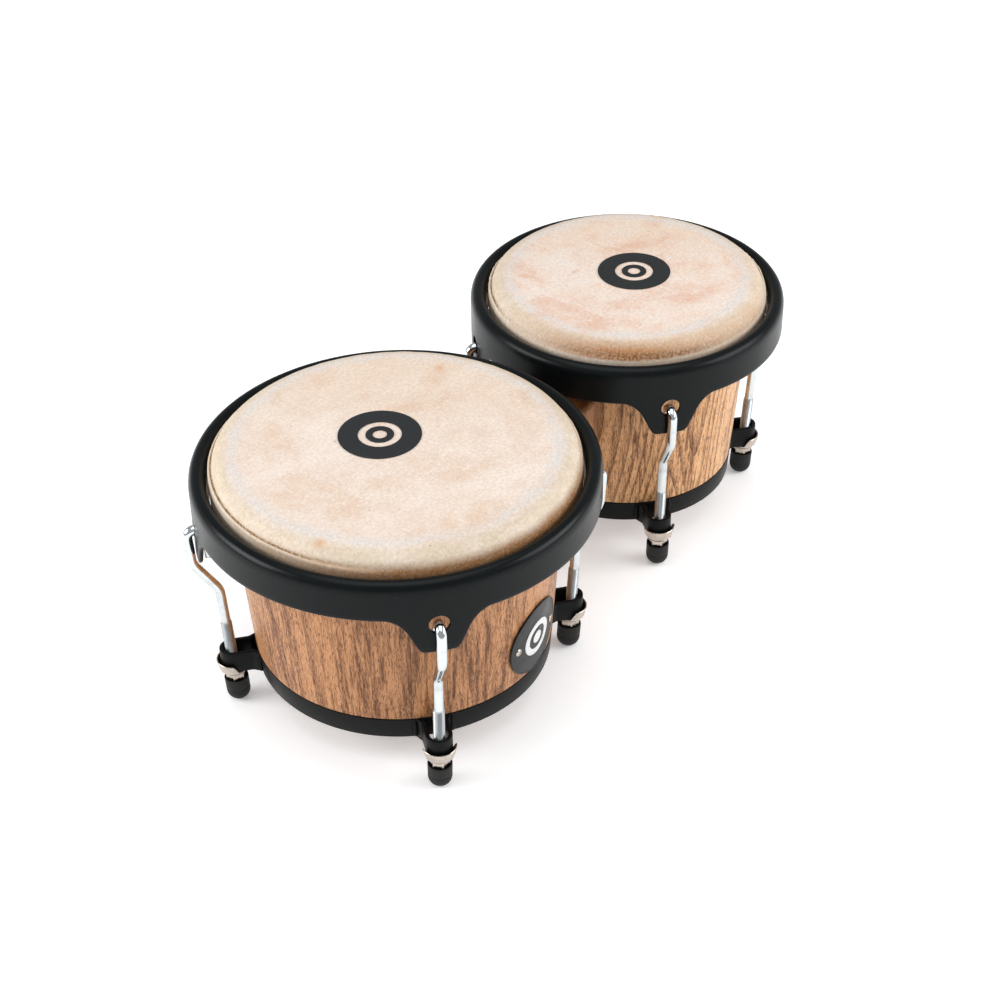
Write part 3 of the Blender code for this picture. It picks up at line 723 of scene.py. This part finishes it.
def head_section(drum, angle):
    """One column of a skin: (radius, height, crease shade) from near the centre to under the edge.
    """
    facts = SKINS[drum.label]
    seed = facts["seed"]
    collar = drum.collar
    centre = (collar - SKIN_SHOULDER, SKIN_TOP - SKIN_SHOULDER)
    crease = min(1.0, 1.4 * strength(angle, facts["crease"]))
    section = []
    flat_rows = 26
    for row in range(1, flat_rows + 1):
        radius = centre[0] * row / flat_rows
        place = Vector((radius * cos(angle) * 22 + seed, radius * sin(angle) * 22, 0))
        fade = 1 - (row / flat_rows) ** 6
        section.append((radius, SKIN_TOP + (noise.noise(place) - 0.3) * 0.28 * MM * fade, 0.0))
    steps = 18
    for step in range(1, steps + 1):
        turn = radians(90 - (90 - 41) * step / steps)
        fade = min(1.0, step / 6, (steps - step) / 6)
        bulge = 0.14 * MM * wander(angle, 16, seed + step * 0.12) * fade
        reach = SKIN_SHOULDER + bulge
        section.append((centre[0] + reach * cos(turn), centre[1] + reach * sin(turn), 0.0))
    plain = arc(centre, SKIN_SHOULDER, 38, 0, 11)
    creased = ((-3.07, 142.42), (-2.6, 141.4), (-2.25, 140.4), (-2.05, 139.7), (-1.8, 139.55),
               (-1.6, 139.9), (-1.3, 140.35), (-0.85, 140.5), (-0.4, 140.2), (-0.12, 139.5),
               (0.0, 138.2), (0.0, 135.5))
    ragged = facts["ragged"] * MM * (wander(angle, 42, seed + 5) + 0.7 * wander(angle, 120, seed))
    for index, (smooth, (inset, high)) in enumerate(zip(plain, creased)):
        outer = min(1.0, max(0.0, index - 5) / 3)
        target = (collar + inset * MM - abs(ragged) * 0.6 * outer, high * MM + ragged * outer)
        radius = smooth[0] + (target[0] - smooth[0]) * crease
        height = smooth[1] + (target[1] - smooth[1]) * crease
        # The third value sets the painted shade on the crease's valley rows
        section.append((radius, height, max(0.0, 1.5 * crease - 0.5) if 2 <= index <= 5 else 0.0))
    section.append((collar, 128 * MM, 0.0))
    section.append((collar, COLLAR_BOTTOM + 0.4 * MM, 0.0))
    section.append((collar - SKIN_THICK / 2, COLLAR_BOTTOM, 0.0))
    section.append((collar - SKIN_THICK, COLLAR_BOTTOM + 0.4 * MM, 0.0))
    inside = (centre[0] - 2.4 * MM, centre[1])
    section += [(r, z, 0.0) for r, z in arc(inside, SKIN_SHOULDER - SKIN_THICK, 0, 90, 8)]
    section += [(centre[0] * share, SKIN_TOP - SKIN_THICK, 0.0) for share in (0.8, 0.5, 0.2)]
    return section


def skin_marks(drum, angle, radius, height, crease):
    """Per-point strengths for the skin's material: band, shoulder, stain, the painted shade just
    above the rim, the painted shade in the crease's valley, and knot.
    """
    facts = SKINS[drum.label]
    seed = facts["seed"]
    edge = drum.collar - SKIN_SHOULDER
    past = (radius - edge) / MM
    band = max(0.0, 1 - abs(past - 0.5 - 2 * wander(angle, 5, seed)) / 7.5)
    shoulder = min(1.0, max(0.0, (past - 1.5) / 5))
    top = facts["stain_top"] * MM + 0.7 * MM * wander(angle, 7, seed + 2)
    bottom = facts["stain_bottom"] * MM
    kept = min(1.0, max(0.0, (height - bottom) / (1.2 * MM)))
    depth = min(1.0, max(0.0, (top - height) / (facts["stain_fade"] * MM)))
    browned = strength(angle, facts["stain"]) * depth * kept * shoulder
    # Painted shade: strongest just above the rim, where the rim's shade falls on the stained skin
    low = min(1.0, max(0.0, (bottom + 5.5 * MM - height) / (3 * MM)))
    rim_shade = strength(angle, facts["rim_shade"]) * low * kept
    knot = 0.0
    for bearing, reach in facts["knots"]:
        spot = Vector((cos(radians(bearing)), sin(radians(bearing)))) * reach * MM
        away = (Vector((cos(angle), sin(angle))) * radius - spot).length / MM
        knot = max(knot, 1 - away / 5.5)
    return band, shoulder, browned, rim_shade, crease, max(0.0, knot) ** 1.5


def build_head(drum):
    """The skin: a drawn-tight top, a soft shoulder, and a creased edge where it tucks in."""
    columns = 320
    points = []
    marks = []
    rows = 0
    for column in range(columns):
        angle = 2 * pi * (column + 0.5) / columns
        section = head_section(drum, angle)
        rows = len(section)
        for radius, height, crease in section:
            points.append((radius * cos(angle), radius * sin(angle), height))
            marks.append(skin_marks(drum, angle, radius, height, crease))
    faces = strip_faces(columns, rows, True, False)
    top = len(points)
    for height in (SKIN_TOP, SKIN_TOP - SKIN_THICK):
        points.append((0, 0, height))
        marks.append((0.0,) * 6)
    for column in range(columns):
        left = column * rows
        right = (column + 1) % columns * rows
        faces.append((top, left, right))
        faces.append((top + 1, right + rows - 1, left + rows - 1))
    mesh = bpy.data.meshes.new("head")
    mesh.from_pydata(points, [], faces)
    for index, word in enumerate(("band", "shoulder", "stain", "rim_shade", "crease", "knot")):
        layer = mesh.attributes.new(word, "FLOAT", "POINT")
        layer.data.foreach_set("value", [mark[index] for mark in marks])
    bm = bmesh.new()
    bm.from_mesh(mesh)
    bmesh.ops.recalc_face_normals(bm, faces=bm.faces[:])
    bm.to_mesh(mesh)
    bm.free()
    mesh.shade_smooth()
    add_piece(f"rawhide_head_{drum.label}", mesh, f"skin_{drum.label}", drum.place,
              [f"head_{drum.label}"])


def build_hoop_wrap(drum):
    """The end of the skin, wrapped round the flesh hoop. It moves with the rim."""
    inner = drum.rim - 11.5 * MM
    corners = [(inner, HOOP_BOTTOM - 0.6 * MM), (inner + 6.4 * MM, HOOP_BOTTOM - 0.6 * MM),
               (inner + 6.4 * MM, 125.6 * MM), (inner, 125.6 * MM)]
    outline = rounded(corners, 1.6 * MM, 4)
    seed = SKINS[drum.label]["seed"]

    def puckered(angle):
        section = []
        for row, (radius, height) in enumerate(outline):
            fold = 0.12 * MM * wander(angle, 60, seed, row * 0.3)
            outside = (radius - inner) / (6.4 * MM)
            section.append((radius + fold * outside, height - max(0.0, fold) * 0.5))
        return section

    mesh = turned("wrap", 240, puckered, start=0.5)
    add_piece(f"wrapped_hoop_{drum.label}", mesh, f"skin_{drum.label}", drum.place,
              [f"flesh_hoop_{drum.label}"], f"rim_{drum.label}")


HAIRS = {
    # A name and a look, then the zones: bearing, spread, count, low and high turn on the
    # shoulder, length (mm) and lift
    "large": (
        ("loose_fibres", "fibre", ((165, 60, 30, 10, 25, 1.6, 1.0),
                                   (-20, 30, 16, 10, 25, 1.6, 1.0))),
    ),
    "small": (
        ("pale_bristles", "fibre", ((-146, 80, 420, 18, 62, 2.0, 0.25),
                                    (-140, 95, 520, 12, 24, 1.5, 0.9),
                                    (125, 35, 150, 16, 30, 2.4, 2.4),
                                    (-28, 34, 130, 16, 30, 1.8, 2.4))),
        ("brown_bristles", "brown_fibre", ((-143, 66, 1000, 18, 60, 1.8, 0.2),)),
    ),
}


def chance(index, salt):
    """A fixed pseudo-random number from 0 to 1."""
    return noise.cell(Vector((index * 1.37 + 0.1, salt * 3.1 + 0.2, 5.5)))


def add_hair(points, faces, foot, along, length, radius):
    """A tapered three-sided hair that droops a little."""
    side = along.cross(Vector((0.31, 0.22, 0.93))).normalized()
    other = along.cross(side)
    start = len(points)
    for share, thick in ((0.0, 1.0), (0.5, 0.8), (1.0, 0.2)):
        middle = foot + along * length * share - UP * (0.22 * length * share * share)
        for corner in range(3):
            turn = 2 * pi * corner / 3
            offset = (side * cos(turn) + other * sin(turn)) * radius * thick
            points.append(tuple(middle + offset))
    for level in (0, 3):
        for corner in range(3):
            after = (corner + 1) % 3
            faces.append((start + level + corner, start + level + after,
                          start + level + 3 + after, start + level + 3 + corner))
    faces.append((start, start + 1, start + 2))
    faces.append((start + 6, start + 7, start + 8))


def build_hairs(drum, name, look, zones):
    """Short hairs on the skin, in the zones that HAIRS lists."""
    points = []
    faces = []
    centre = Vector((drum.collar - SKIN_SHOULDER, SKIN_TOP - SKIN_SHOULDER))
    index = 0
    for bearing, spread, count, low, high, length, lift in zones:
        for _ in range(count):
            index += 1
            swing = (chance(index, 1) + chance(index, 2) - 1) * spread
            angle = radians(bearing + swing)
            turn = radians(low + (high - low) * chance(index, 3))
            out = Vector((cos(angle), sin(angle), 0))
            normal = out * cos(turn) + UP * sin(turn)
            down = out * sin(turn) - UP * cos(turn)
            foot = out * (centre.x + (SKIN_SHOULDER - 0.1 * MM) * cos(turn))
            foot += UP * (centre.y + (SKIN_SHOULDER - 0.1 * MM) * sin(turn))
            along = down + normal * lift * (0.4 + chance(index, 4))
            along += UP.cross(out) * (chance(index, 5) - 0.5) * 2.2
            along.normalize()
            # Hairs stay clear of the rim's rolled lip
            room = drum.collar + 1.2 * MM - foot.dot(out)
            size = length * MM * (0.45 + 0.55 * chance(index, 6))
            size = min(size, room / max(0.05, along.dot(out)))
            add_hair(points, faces, foot, along, size, 0.085 * MM)
    mesh = make_mesh(name, points, faces, 80)
    add_piece(f"{name}_{drum.label}", mesh, look, drum.place)


# Marks: a plain ring and dot, cut out of a disc

def ring_mesh(name, inner, outer, thick):
    edge = min(0.12 * MM, thick / 3)
    corners = [(inner, 0.0), (outer, 0.0), (outer, thick), (inner, thick)]
    return lathe(name, rounded(corners, edge, 2), 120)


def build_mark(drum):
    lo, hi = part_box(f"head_mark_{drum.label}")
    middle = (lo + hi) / 2
    radius = (hi.x - lo.x) / 2 + 0.1 * MM
    place = Matrix.Translation((middle.x, middle.y, lo.z - 0.12 * MM))
    outer = ring_mesh("mark outer", radius * 0.52, radius, 0.26 * MM)
    inner = ring_mesh("mark inner", radius * 0.17, radius * 0.34, 0.26 * MM)
    add_piece(f"mark_field_{drum.label}", outer, "mark", place,
              [f"head_mark_{drum.label}"])
    add_piece(f"mark_dot_{drum.label}", inner, "mark", place)


# Lugs

def hook_mesh():
    """The bent rod, with a real thread on its lower stretch."""
    sides = 20
    lower = tuple(value * MM for value in JOG[0])
    upper = tuple(value * MM for value in JOG[1])
    centre = (upper[0] - HOOK_BEND_RADIUS, HOOK_BEND_HEIGHT)
    stub = (upper[0] - 2 * HOOK_BEND_RADIUS, HOOK_STUB_END)
    path = [(0.0, THREAD_TOP + 1.2 * MM)]
    path += bend(lower, (0.0, THREAD_TOP), upper, JOG_ROUND, 10)
    path += bend(upper, lower, (upper[0], HOOK_BEND_HEIGHT), JOG_ROUND, 10)
    path += arc(centre, HOOK_BEND_RADIUS, 0, 180, 16)
    path.append((stub[0], stub[1] + 0.5 * MM))
    points = []
    rows = []
    # Thread: each ring of points is turned a little up the helix
    turns = (THREAD_TOP - THREAD_BOTTOM) / THREAD_PITCH
    per_turn = 4
    for step in range(int(turns * per_turn) + 1):
        height = THREAD_BOTTOM + 0.25 * MM + step * THREAD_PITCH / per_turn
        chamfer = min(1.0, (height - THREAD_BOTTOM) / (1.2 * MM))
        runout = min(1.0, max(0.0, (THREAD_TOP - height) / (1.5 * MM)))
        for side in range(sides):
            turn = 2 * pi * side / sides
            phase = (height / THREAD_PITCH + side / sides) % 1.0
            crest = 1 - abs(2 * phase - 1)
            root = 3.0 * MM
            radius = root + (THREAD_RADIUS - root) * crest * runout * chamfer
            radius -= 0.35 * MM * (1 - chamfer)
            if runout < 1:
                radius = max(radius, ROD_RADIUS - 0.05 * MM)
            points.append((radius * sin(turn), radius * cos(turn), height))
        rows.append("thread")
    for index, (x, z) in enumerate(path):
        before = path[max(index - 1, 0)]
        after = path[min(index + 1, len(path) - 1)]
        along = Vector((after[0] - before[0], 0, after[1] - before[1])).normalized()
        across = Vector((0, 1, 0)).cross(along)
        for side in range(sides):
            turn = 2 * pi * side / sides
            offset = (across * sin(turn) + Vector((0, 1, 0)) * cos(turn)) * ROD_RADIUS
            points.append((x + offset.x, offset.y, z + offset.z))
        rows.append("rod")
    # A small chamfer at the cut end
    for side in range(sides):
        turn = 2 * pi * side / sides
        small = ROD_RADIUS - 0.5 * MM
        points.append((stub[0] - sin(turn) * small, cos(turn) * small, stub[1]))
    rows.append("rod")
    faces = strip_faces(len(rows), sides, False, True)
    faces += [tuple(range(sides)), tuple(range((len(rows) - 1) * sides, len(rows) * sides))]
    mesh = make_mesh("hook", points, faces, 60)
    mesh.materials.append(LOOKS["chrome"])
    mesh.materials.append(LOOKS["thread"])
    for polygon in mesh.polygons:
        middle = polygon.center
        polygon.material_index = int(middle.z < THREAD_TOP and abs(middle.x) < 5 * MM)
    return mesh


def washer_section(angle):
    """A dished washer whose lip rises round the bracket and fades towards the ring."""
    from_front = abs(degrees((angle + pi) % (2 * pi) - pi))
    fade = min(max((106 - from_front) / 24, 0.0), 1.0)
    fade = fade * fade * (3 - 2 * fade)
    low = -2.1 * MM
    flat = -0.35 * MM
    high = flat + 6.2 * MM * fade
    edge = 8.7 * MM + 1.7 * MM * fade
    return [(BORE_RADIUS, flat - 0.2 * MM), (BORE_RADIUS, low + 0.2 * MM),
            (BORE_RADIUS + 0.2 * MM, low), (7.6 * MM, low), (8.5 * MM, low + 0.25 * MM),
            (9.0 * MM + 0.1 * MM * fade, low + 0.9 * MM + 0.2 * MM * fade),
            (edge + 0.1 * MM, high - 1.1 * MM), (edge + 0.15 * MM, high - 0.3 * MM),
            (edge - 0.15 * MM, high), (edge - 0.65 * MM, high - 0.1 * MM),
            (edge - 1.0 * MM * fade - 0.7 * MM * (1 - fade), high - 0.7 * MM * fade),
            (8.35 * MM, flat + 0.4 * MM * fade), (8.0 * MM, flat), (BORE_RADIUS + 0.2 * MM, flat)]


def nut_section(angle):
    """A hexagon with chamfered corners, and a round flange on top."""
    off = (angle + pi / 6) % (pi / 3) - pi / 6
    hexagon = min(NUT_HALF_FLATS / cos(off), NUT_HALF_CORNERS)
    shoulder = NUT_TOP - 1.5 * MM
    return [(BORE_RADIUS, NUT_TOP - 0.3 * MM), (BORE_RADIUS + 0.3 * MM, NUT_TOP),
            (6.9 * MM, NUT_TOP), (7.2 * MM, NUT_TOP - 0.25 * MM), (7.2 * MM, shoulder + 0.6 * MM),
            (6.95 * MM, shoulder + 0.35 * MM), (hexagon + 0.35 * MM, shoulder),
            (hexagon, shoulder - 0.4 * MM), (hexagon, NUT_BOTTOM + 0.5 * MM),
            (min(hexagon, 5.7 * MM), NUT_BOTTOM), (BORE_RADIUS + 0.3 * MM, NUT_BOTTOM),
            (BORE_RADIUS, NUT_BOTTOM + 0.3 * MM)]


def boot_mesh(lean):
    """A moulded rubber cup: a domed foot, a faint mould line and a rolled mouth."""
    floor = -FOOT_HEIGHT / cos(lean)
    centre = floor + BOOT_RADIUS / cos(lean)
    socket = BOOT_RADIUS - 0.85 * MM
    profile = [(0.0, centre - BOOT_RADIUS)] + arc((0, centre), BOOT_RADIUS, -84, 0, 16)
    for height, inset in ((-16.2, 0.0), (-16.0, 0.08), (-15.7, 0.08), (-15.5, 0.0), (-12.5, 0.0),
                          (-10.2, -0.05), (-9.0, -0.05)):
        profile.append((BOOT_RADIUS - inset * MM, height * MM))
    profile += arc((BOOT_RADIUS - 0.4 * MM, BOOT_TOP - 0.35 * MM), 0.42 * MM, 20, 160, 5)
    profile += [(socket, -9.2 * MM), (socket, NUT_BOTTOM - 0.3 * MM),
                (BORE_RADIUS, NUT_BOTTOM - 0.3 * MM), (BORE_RADIUS, -19.0 * MM), (0.0, -19.0 * MM)]
    return lathe("boot", profile, 72, closed=False, sharp=50)


def build_lugs(drum):
    lean = Vector(drum.lugs[0]["axis"]).angle(UP)
    hook = hook_mesh()
    washer = turned("washer", 96, washer_section, sharp=50)
    nut = turned("nut", 96, nut_section, sharp=32)
    boot = boot_mesh(lean)
    for number, upright, leaning in drum.lug_places():
        label = f"{drum.label}_{number}"
        add_piece(f"hook_rod_{label}", hook, "chrome", leaning, [f"hook_{label}"],
                  f"hook_{label}")
        add_piece(f"saddle_washer_{label}", washer, "nickel", upright,
                  [f"washer_{label}"])
        turn = Matrix.Rotation(radians(15 + 22 * number), 4, "Z")
        add_piece(f"flange_nut_{label}", nut, "nickel", leaning @ turn,
                  [f"nut_{label}"], f"nut_{label}")
        add_piece(f"rubber_boot_{label}", boot, "rubber", leaning, [f"boot_{label}"],
                  f"nut_{label}")


# Badge

def on_shell(drum, along, up, lift):
    """A point on the badge: along and up the shell from the badge's centre."""
    height = BADGE_HEIGHT + up
    angle = radians(BADGE_ANGLE) + along / drum.wall(BADGE_HEIGHT)
    radius = drum.wall(height) + lift
    return (radius * cos(angle), radius * sin(angle), height)


def bent_disc(drum, name, inner, outer, low, high, edge):
    """A flat ring or disc bent to the shell, with rounded edges."""
    profile = rounded([(inner, low), (outer, low), (outer, high), (inner, high)], edge, 3)
    if inner <= 0:
        profile = [(0.0, high), (outer * 0.3, high), (outer * 0.6, high), (outer * 0.85, high)]
        profile += rounded([(outer - 3 * edge, low), (outer, low), (outer, high),
                            (outer - 3 * edge, high)], edge, 3)[4:12][::-1]
        profile += [(outer * 0.6, low), (0.0, low)]
    columns = 120
    points = []
    for column in range(columns):
        angle = 2 * pi * column / columns
        points += [on_shell(drum, r * cos(angle), r * sin(angle), lift) for r, lift in profile]
    return make_mesh(name, points, strip_faces(columns, len(profile), True, inner > 0), 40)


def build_badge(drum):
    base = 0.3 * MM
    plate = bent_disc(drum, "badge plate", 0.0, BADGE_RADIUS, base, base + 1.0 * MM, 0.25 * MM)
    add_piece("badge_plate", plate, "badge", drum.place, ["badge"])
    top = base + 0.9 * MM
    band = bent_disc(drum, "badge band", 8.2 * MM, 12.4 * MM, top, top + 0.45 * MM, 0.12 * MM)
    add_piece("badge_symbol_ring", band, "badge_symbol", drum.place)
    dot = bent_disc(drum, "badge dot", 0.0, 4.2 * MM, top, top + 0.45 * MM, 0.12 * MM)
    add_piece("badge_symbol_dot", dot, "badge_symbol", drum.place)
    border = bent_disc(drum, "badge border", 23.9 * MM, 24.7 * MM, top, top + 0.25 * MM, 0.1 * MM)
    add_piece("badge_border", border, "badge", drum.place)
    head = [(0.0, 0.75), (0.55, 0.72), (1.3, 0.6), (1.9, 0.35), (2.3, 0.0), (2.3, -0.25),
            (1.1, -0.3), (1.1, -5.0), (0.0, -5.0)]
    slot = prism("slot", [(-0.28 * MM, -1.5 * MM), (0.28 * MM, -1.5 * MM), (0.28 * MM, 1.5 * MM),
                          (-0.28 * MM, 1.5 * MM)], 0.3 * MM, 2 * MM, 0.05 * MM)
    for number, side in enumerate((-1, 1), 1):
        spot = Vector(on_shell(drum, side * BADGE_SCREW_OFFSET, 0, base + 1.3 * MM))
        out = Vector((spot.x, spot.y, 0)).normalized()
        frame_out = Matrix((UP.cross(out), UP, out)).transposed().to_4x4()
        frame_out.translation = spot
        mesh = lathe("screw", [(r * MM, z * MM) for r, z in head], 40, closed=False)
        screw = add_piece(f"badge_screw_head_{number}", mesh, "nickel",
                          drum.place @ frame_out, [f"badge_screw_{number}"])
        for turn in (35 * number, 35 * number + 90):
            cut(screw, slot, drum.place @ frame_out @ Matrix.Rotation(radians(turn), 4, "Z"))


# Centre block and its fasteners

def build_block(drums):
    high = BLOCK_TOP
    low = BLOCK_BOTTOM
    wide = BLOCK_HALF_WIDTH
    outline = rounded([(-wide, low), (wide, low), (wide, high), (-wide, high)], 4 * MM, 8)
    half = 60 * MM
    mesh = prism("block", outline, -half, half, 0.5 * MM)
    mesh.transform(Matrix(((0, 0, 1, 0), (1, 0, 0, 0), (0, 1, 0, 0), (0, 0, 0, 1))))
    place = Matrix.Translation((BLOCK_AT, 0, FOOT_HEIGHT))
    block = add_piece("shaped_block", mesh, "block", place, ["centre_block"])
    for drum in drums:
        gap = 0.3 * MM
        cone = [(0.0, -1 * MM), (drum.wall(-1 * MM) + gap, -1 * MM),
                (drum.wall(SHELL_HEIGHT) + gap, SHELL_HEIGHT), (0.0, SHELL_HEIGHT)]
        cut(block, lathe("cone", cone, 200, closed=False), drum.place)
    # Domed bolt heads and bent plates inside each shell
    bolt = [(0.0, 4.0), (2.2, 3.8), (4.2, 3.1), (6.0, 1.8), (6.9, 0.7), (7.0, 0.1), (6.9, 0.0),
            (3.0, 0.0), (3.0, -26.0), (2.6, -26.4), (0.0, -26.4)]
    for drum, facing in zip(drums, (1, -1)):
        inner = SHELL_WALL + 0.9 * MM
        columns = 25
        points = []
        bottom = BLOCK_BOLT_HEIGHTS[0] - 12 * MM
        top = BLOCK_BOLT_HEIGHTS[1] + 12 * MM
        thick = 2.0 * MM
        section = rounded([(0.0, bottom), (thick, bottom), (thick, top), (0.0, top)], 0.4 * MM)
        for column in range(columns):
            angle = 17 * MM * (2 * column / (columns - 1) - 1) / (drum.shell - SHELL_WALL)
            for lift, height in section:
                radius = (drum.wall(height) - inner - lift) * facing
                points.append((radius * cos(angle), radius * sin(angle), height))
        faces = strip_faces(columns, len(section), False, True)
        faces += [tuple(range(len(section))),
                  tuple(range((columns - 1) * len(section), columns * len(section)))]
        add_piece(f"bent_plate_{drum.label}", make_mesh("plate", points, faces), "zinc",
                  drum.place, [f"block_plate_{drum.label}"])
        for number, height in enumerate(BLOCK_BOLT_HEIGHTS, 1):
            seat = (drum.wall(height) - SHELL_WALL - 3.5 * MM) * facing
            at = Matrix.Translation((seat, 0, height)) @ Matrix.Rotation(-facing * pi / 2, 4, "Y")
            mesh = lathe("carriage bolt", [(r * MM, z * MM) for r, z in bolt], 48, closed=False)
            add_piece(f"carriage_bolt_{drum.label}_{number}", mesh, "zinc",
                      drum.place @ at, [f"block_bolt_{drum.label}_{number}"])


# Floor, lights and camera

def add_light(name, at, target, size, power):
    data = bpy.data.lights.new(name, "AREA")
    data.shape = "RECTANGLE"
    data.size = size[0]
    data.size_y = size[1]
    data.energy = power
    light = add_object(name, data)
    light.location = at
    light.rotation_euler = (Vector(target) - Vector(at)).to_track_quat("-Z", "Y").to_euler()
    light.visible_camera = False


def build_stage():
    floor = bpy.data.meshes.new("floor")
    size = 12.0
    floor.from_pydata([(-size, -size, 0), (size, -size, 0), (size, size, 0), (-size, size, 0)], [],
                      [(0, 1, 2, 3)])
    item = add_object("floor", floor)
    look = Look("studio_floor", Roughness=0.9)
    look.set("Base Color", (0.94, 0.94, 0.94, 1))
    look.set("Emission Color", (1, 1, 1, 1))
    look.set("Emission Strength", 0.26)
    floor.materials.append(look.material)
    world = bpy.data.worlds.new("studio")
    bpy.context.scene.world = world
    world.use_nodes = True
    background = world.node_tree.nodes["Background"]
    background.inputs[0].default_value = (0.95, 0.97, 1.0, 1)
    background.inputs[1].default_value = 0.45
    add_light("overhead", (-0.30, -0.20, 1.9), (0, 0, 0.08), (1.8, 1.8), 18.5)
    # Two low boxes wash the floor beside the drums, which the black steel mirrors
    add_light("left_box", (-1.0, 0.85, 0.6), (-0.33, 0.24, 0), (0.8, 0.6), 12)
    add_light("right_box", (0.55, -1.0, 0.6), (0.14, -0.30, 0), (0.8, 0.6), 9)
    bpy.context.scene.view_settings.view_transform = "Standard"


def build_camera():
    data = bpy.data.cameras.new("camera")
    data.lens = CAMERA_LENS
    data.sensor_width = 36
    camera = add_object("camera", data)
    turn = Matrix.Rotation(radians(CAMERA_YAW - 90), 4, "Z")
    turn @= Matrix.Rotation(radians(90 - CAMERA_PITCH), 4, "X")
    turn @= Matrix.Rotation(radians(CAMERA_ROLL), 4, "Z")
    camera.matrix_world = Matrix.Translation(CAMERA_AT) @ turn
    bpy.context.scene.camera = camera


def main():
    build_camera()
    build_stage()
    drums = [Drum("large"), Drum("small")]
    for drum in drums:
        build_shell(drum)
        build_ring(drum)
        build_rim(drum)
        build_head(drum)
        build_hoop_wrap(drum)
        build_mark(drum)
        build_lugs(drum)
    build_badge(drums[0])
    build_block(drums)
    for drum in drums:
        for name, look, zones in HAIRS[drum.label]:
            build_hairs(drum, name, look, zones)


main()
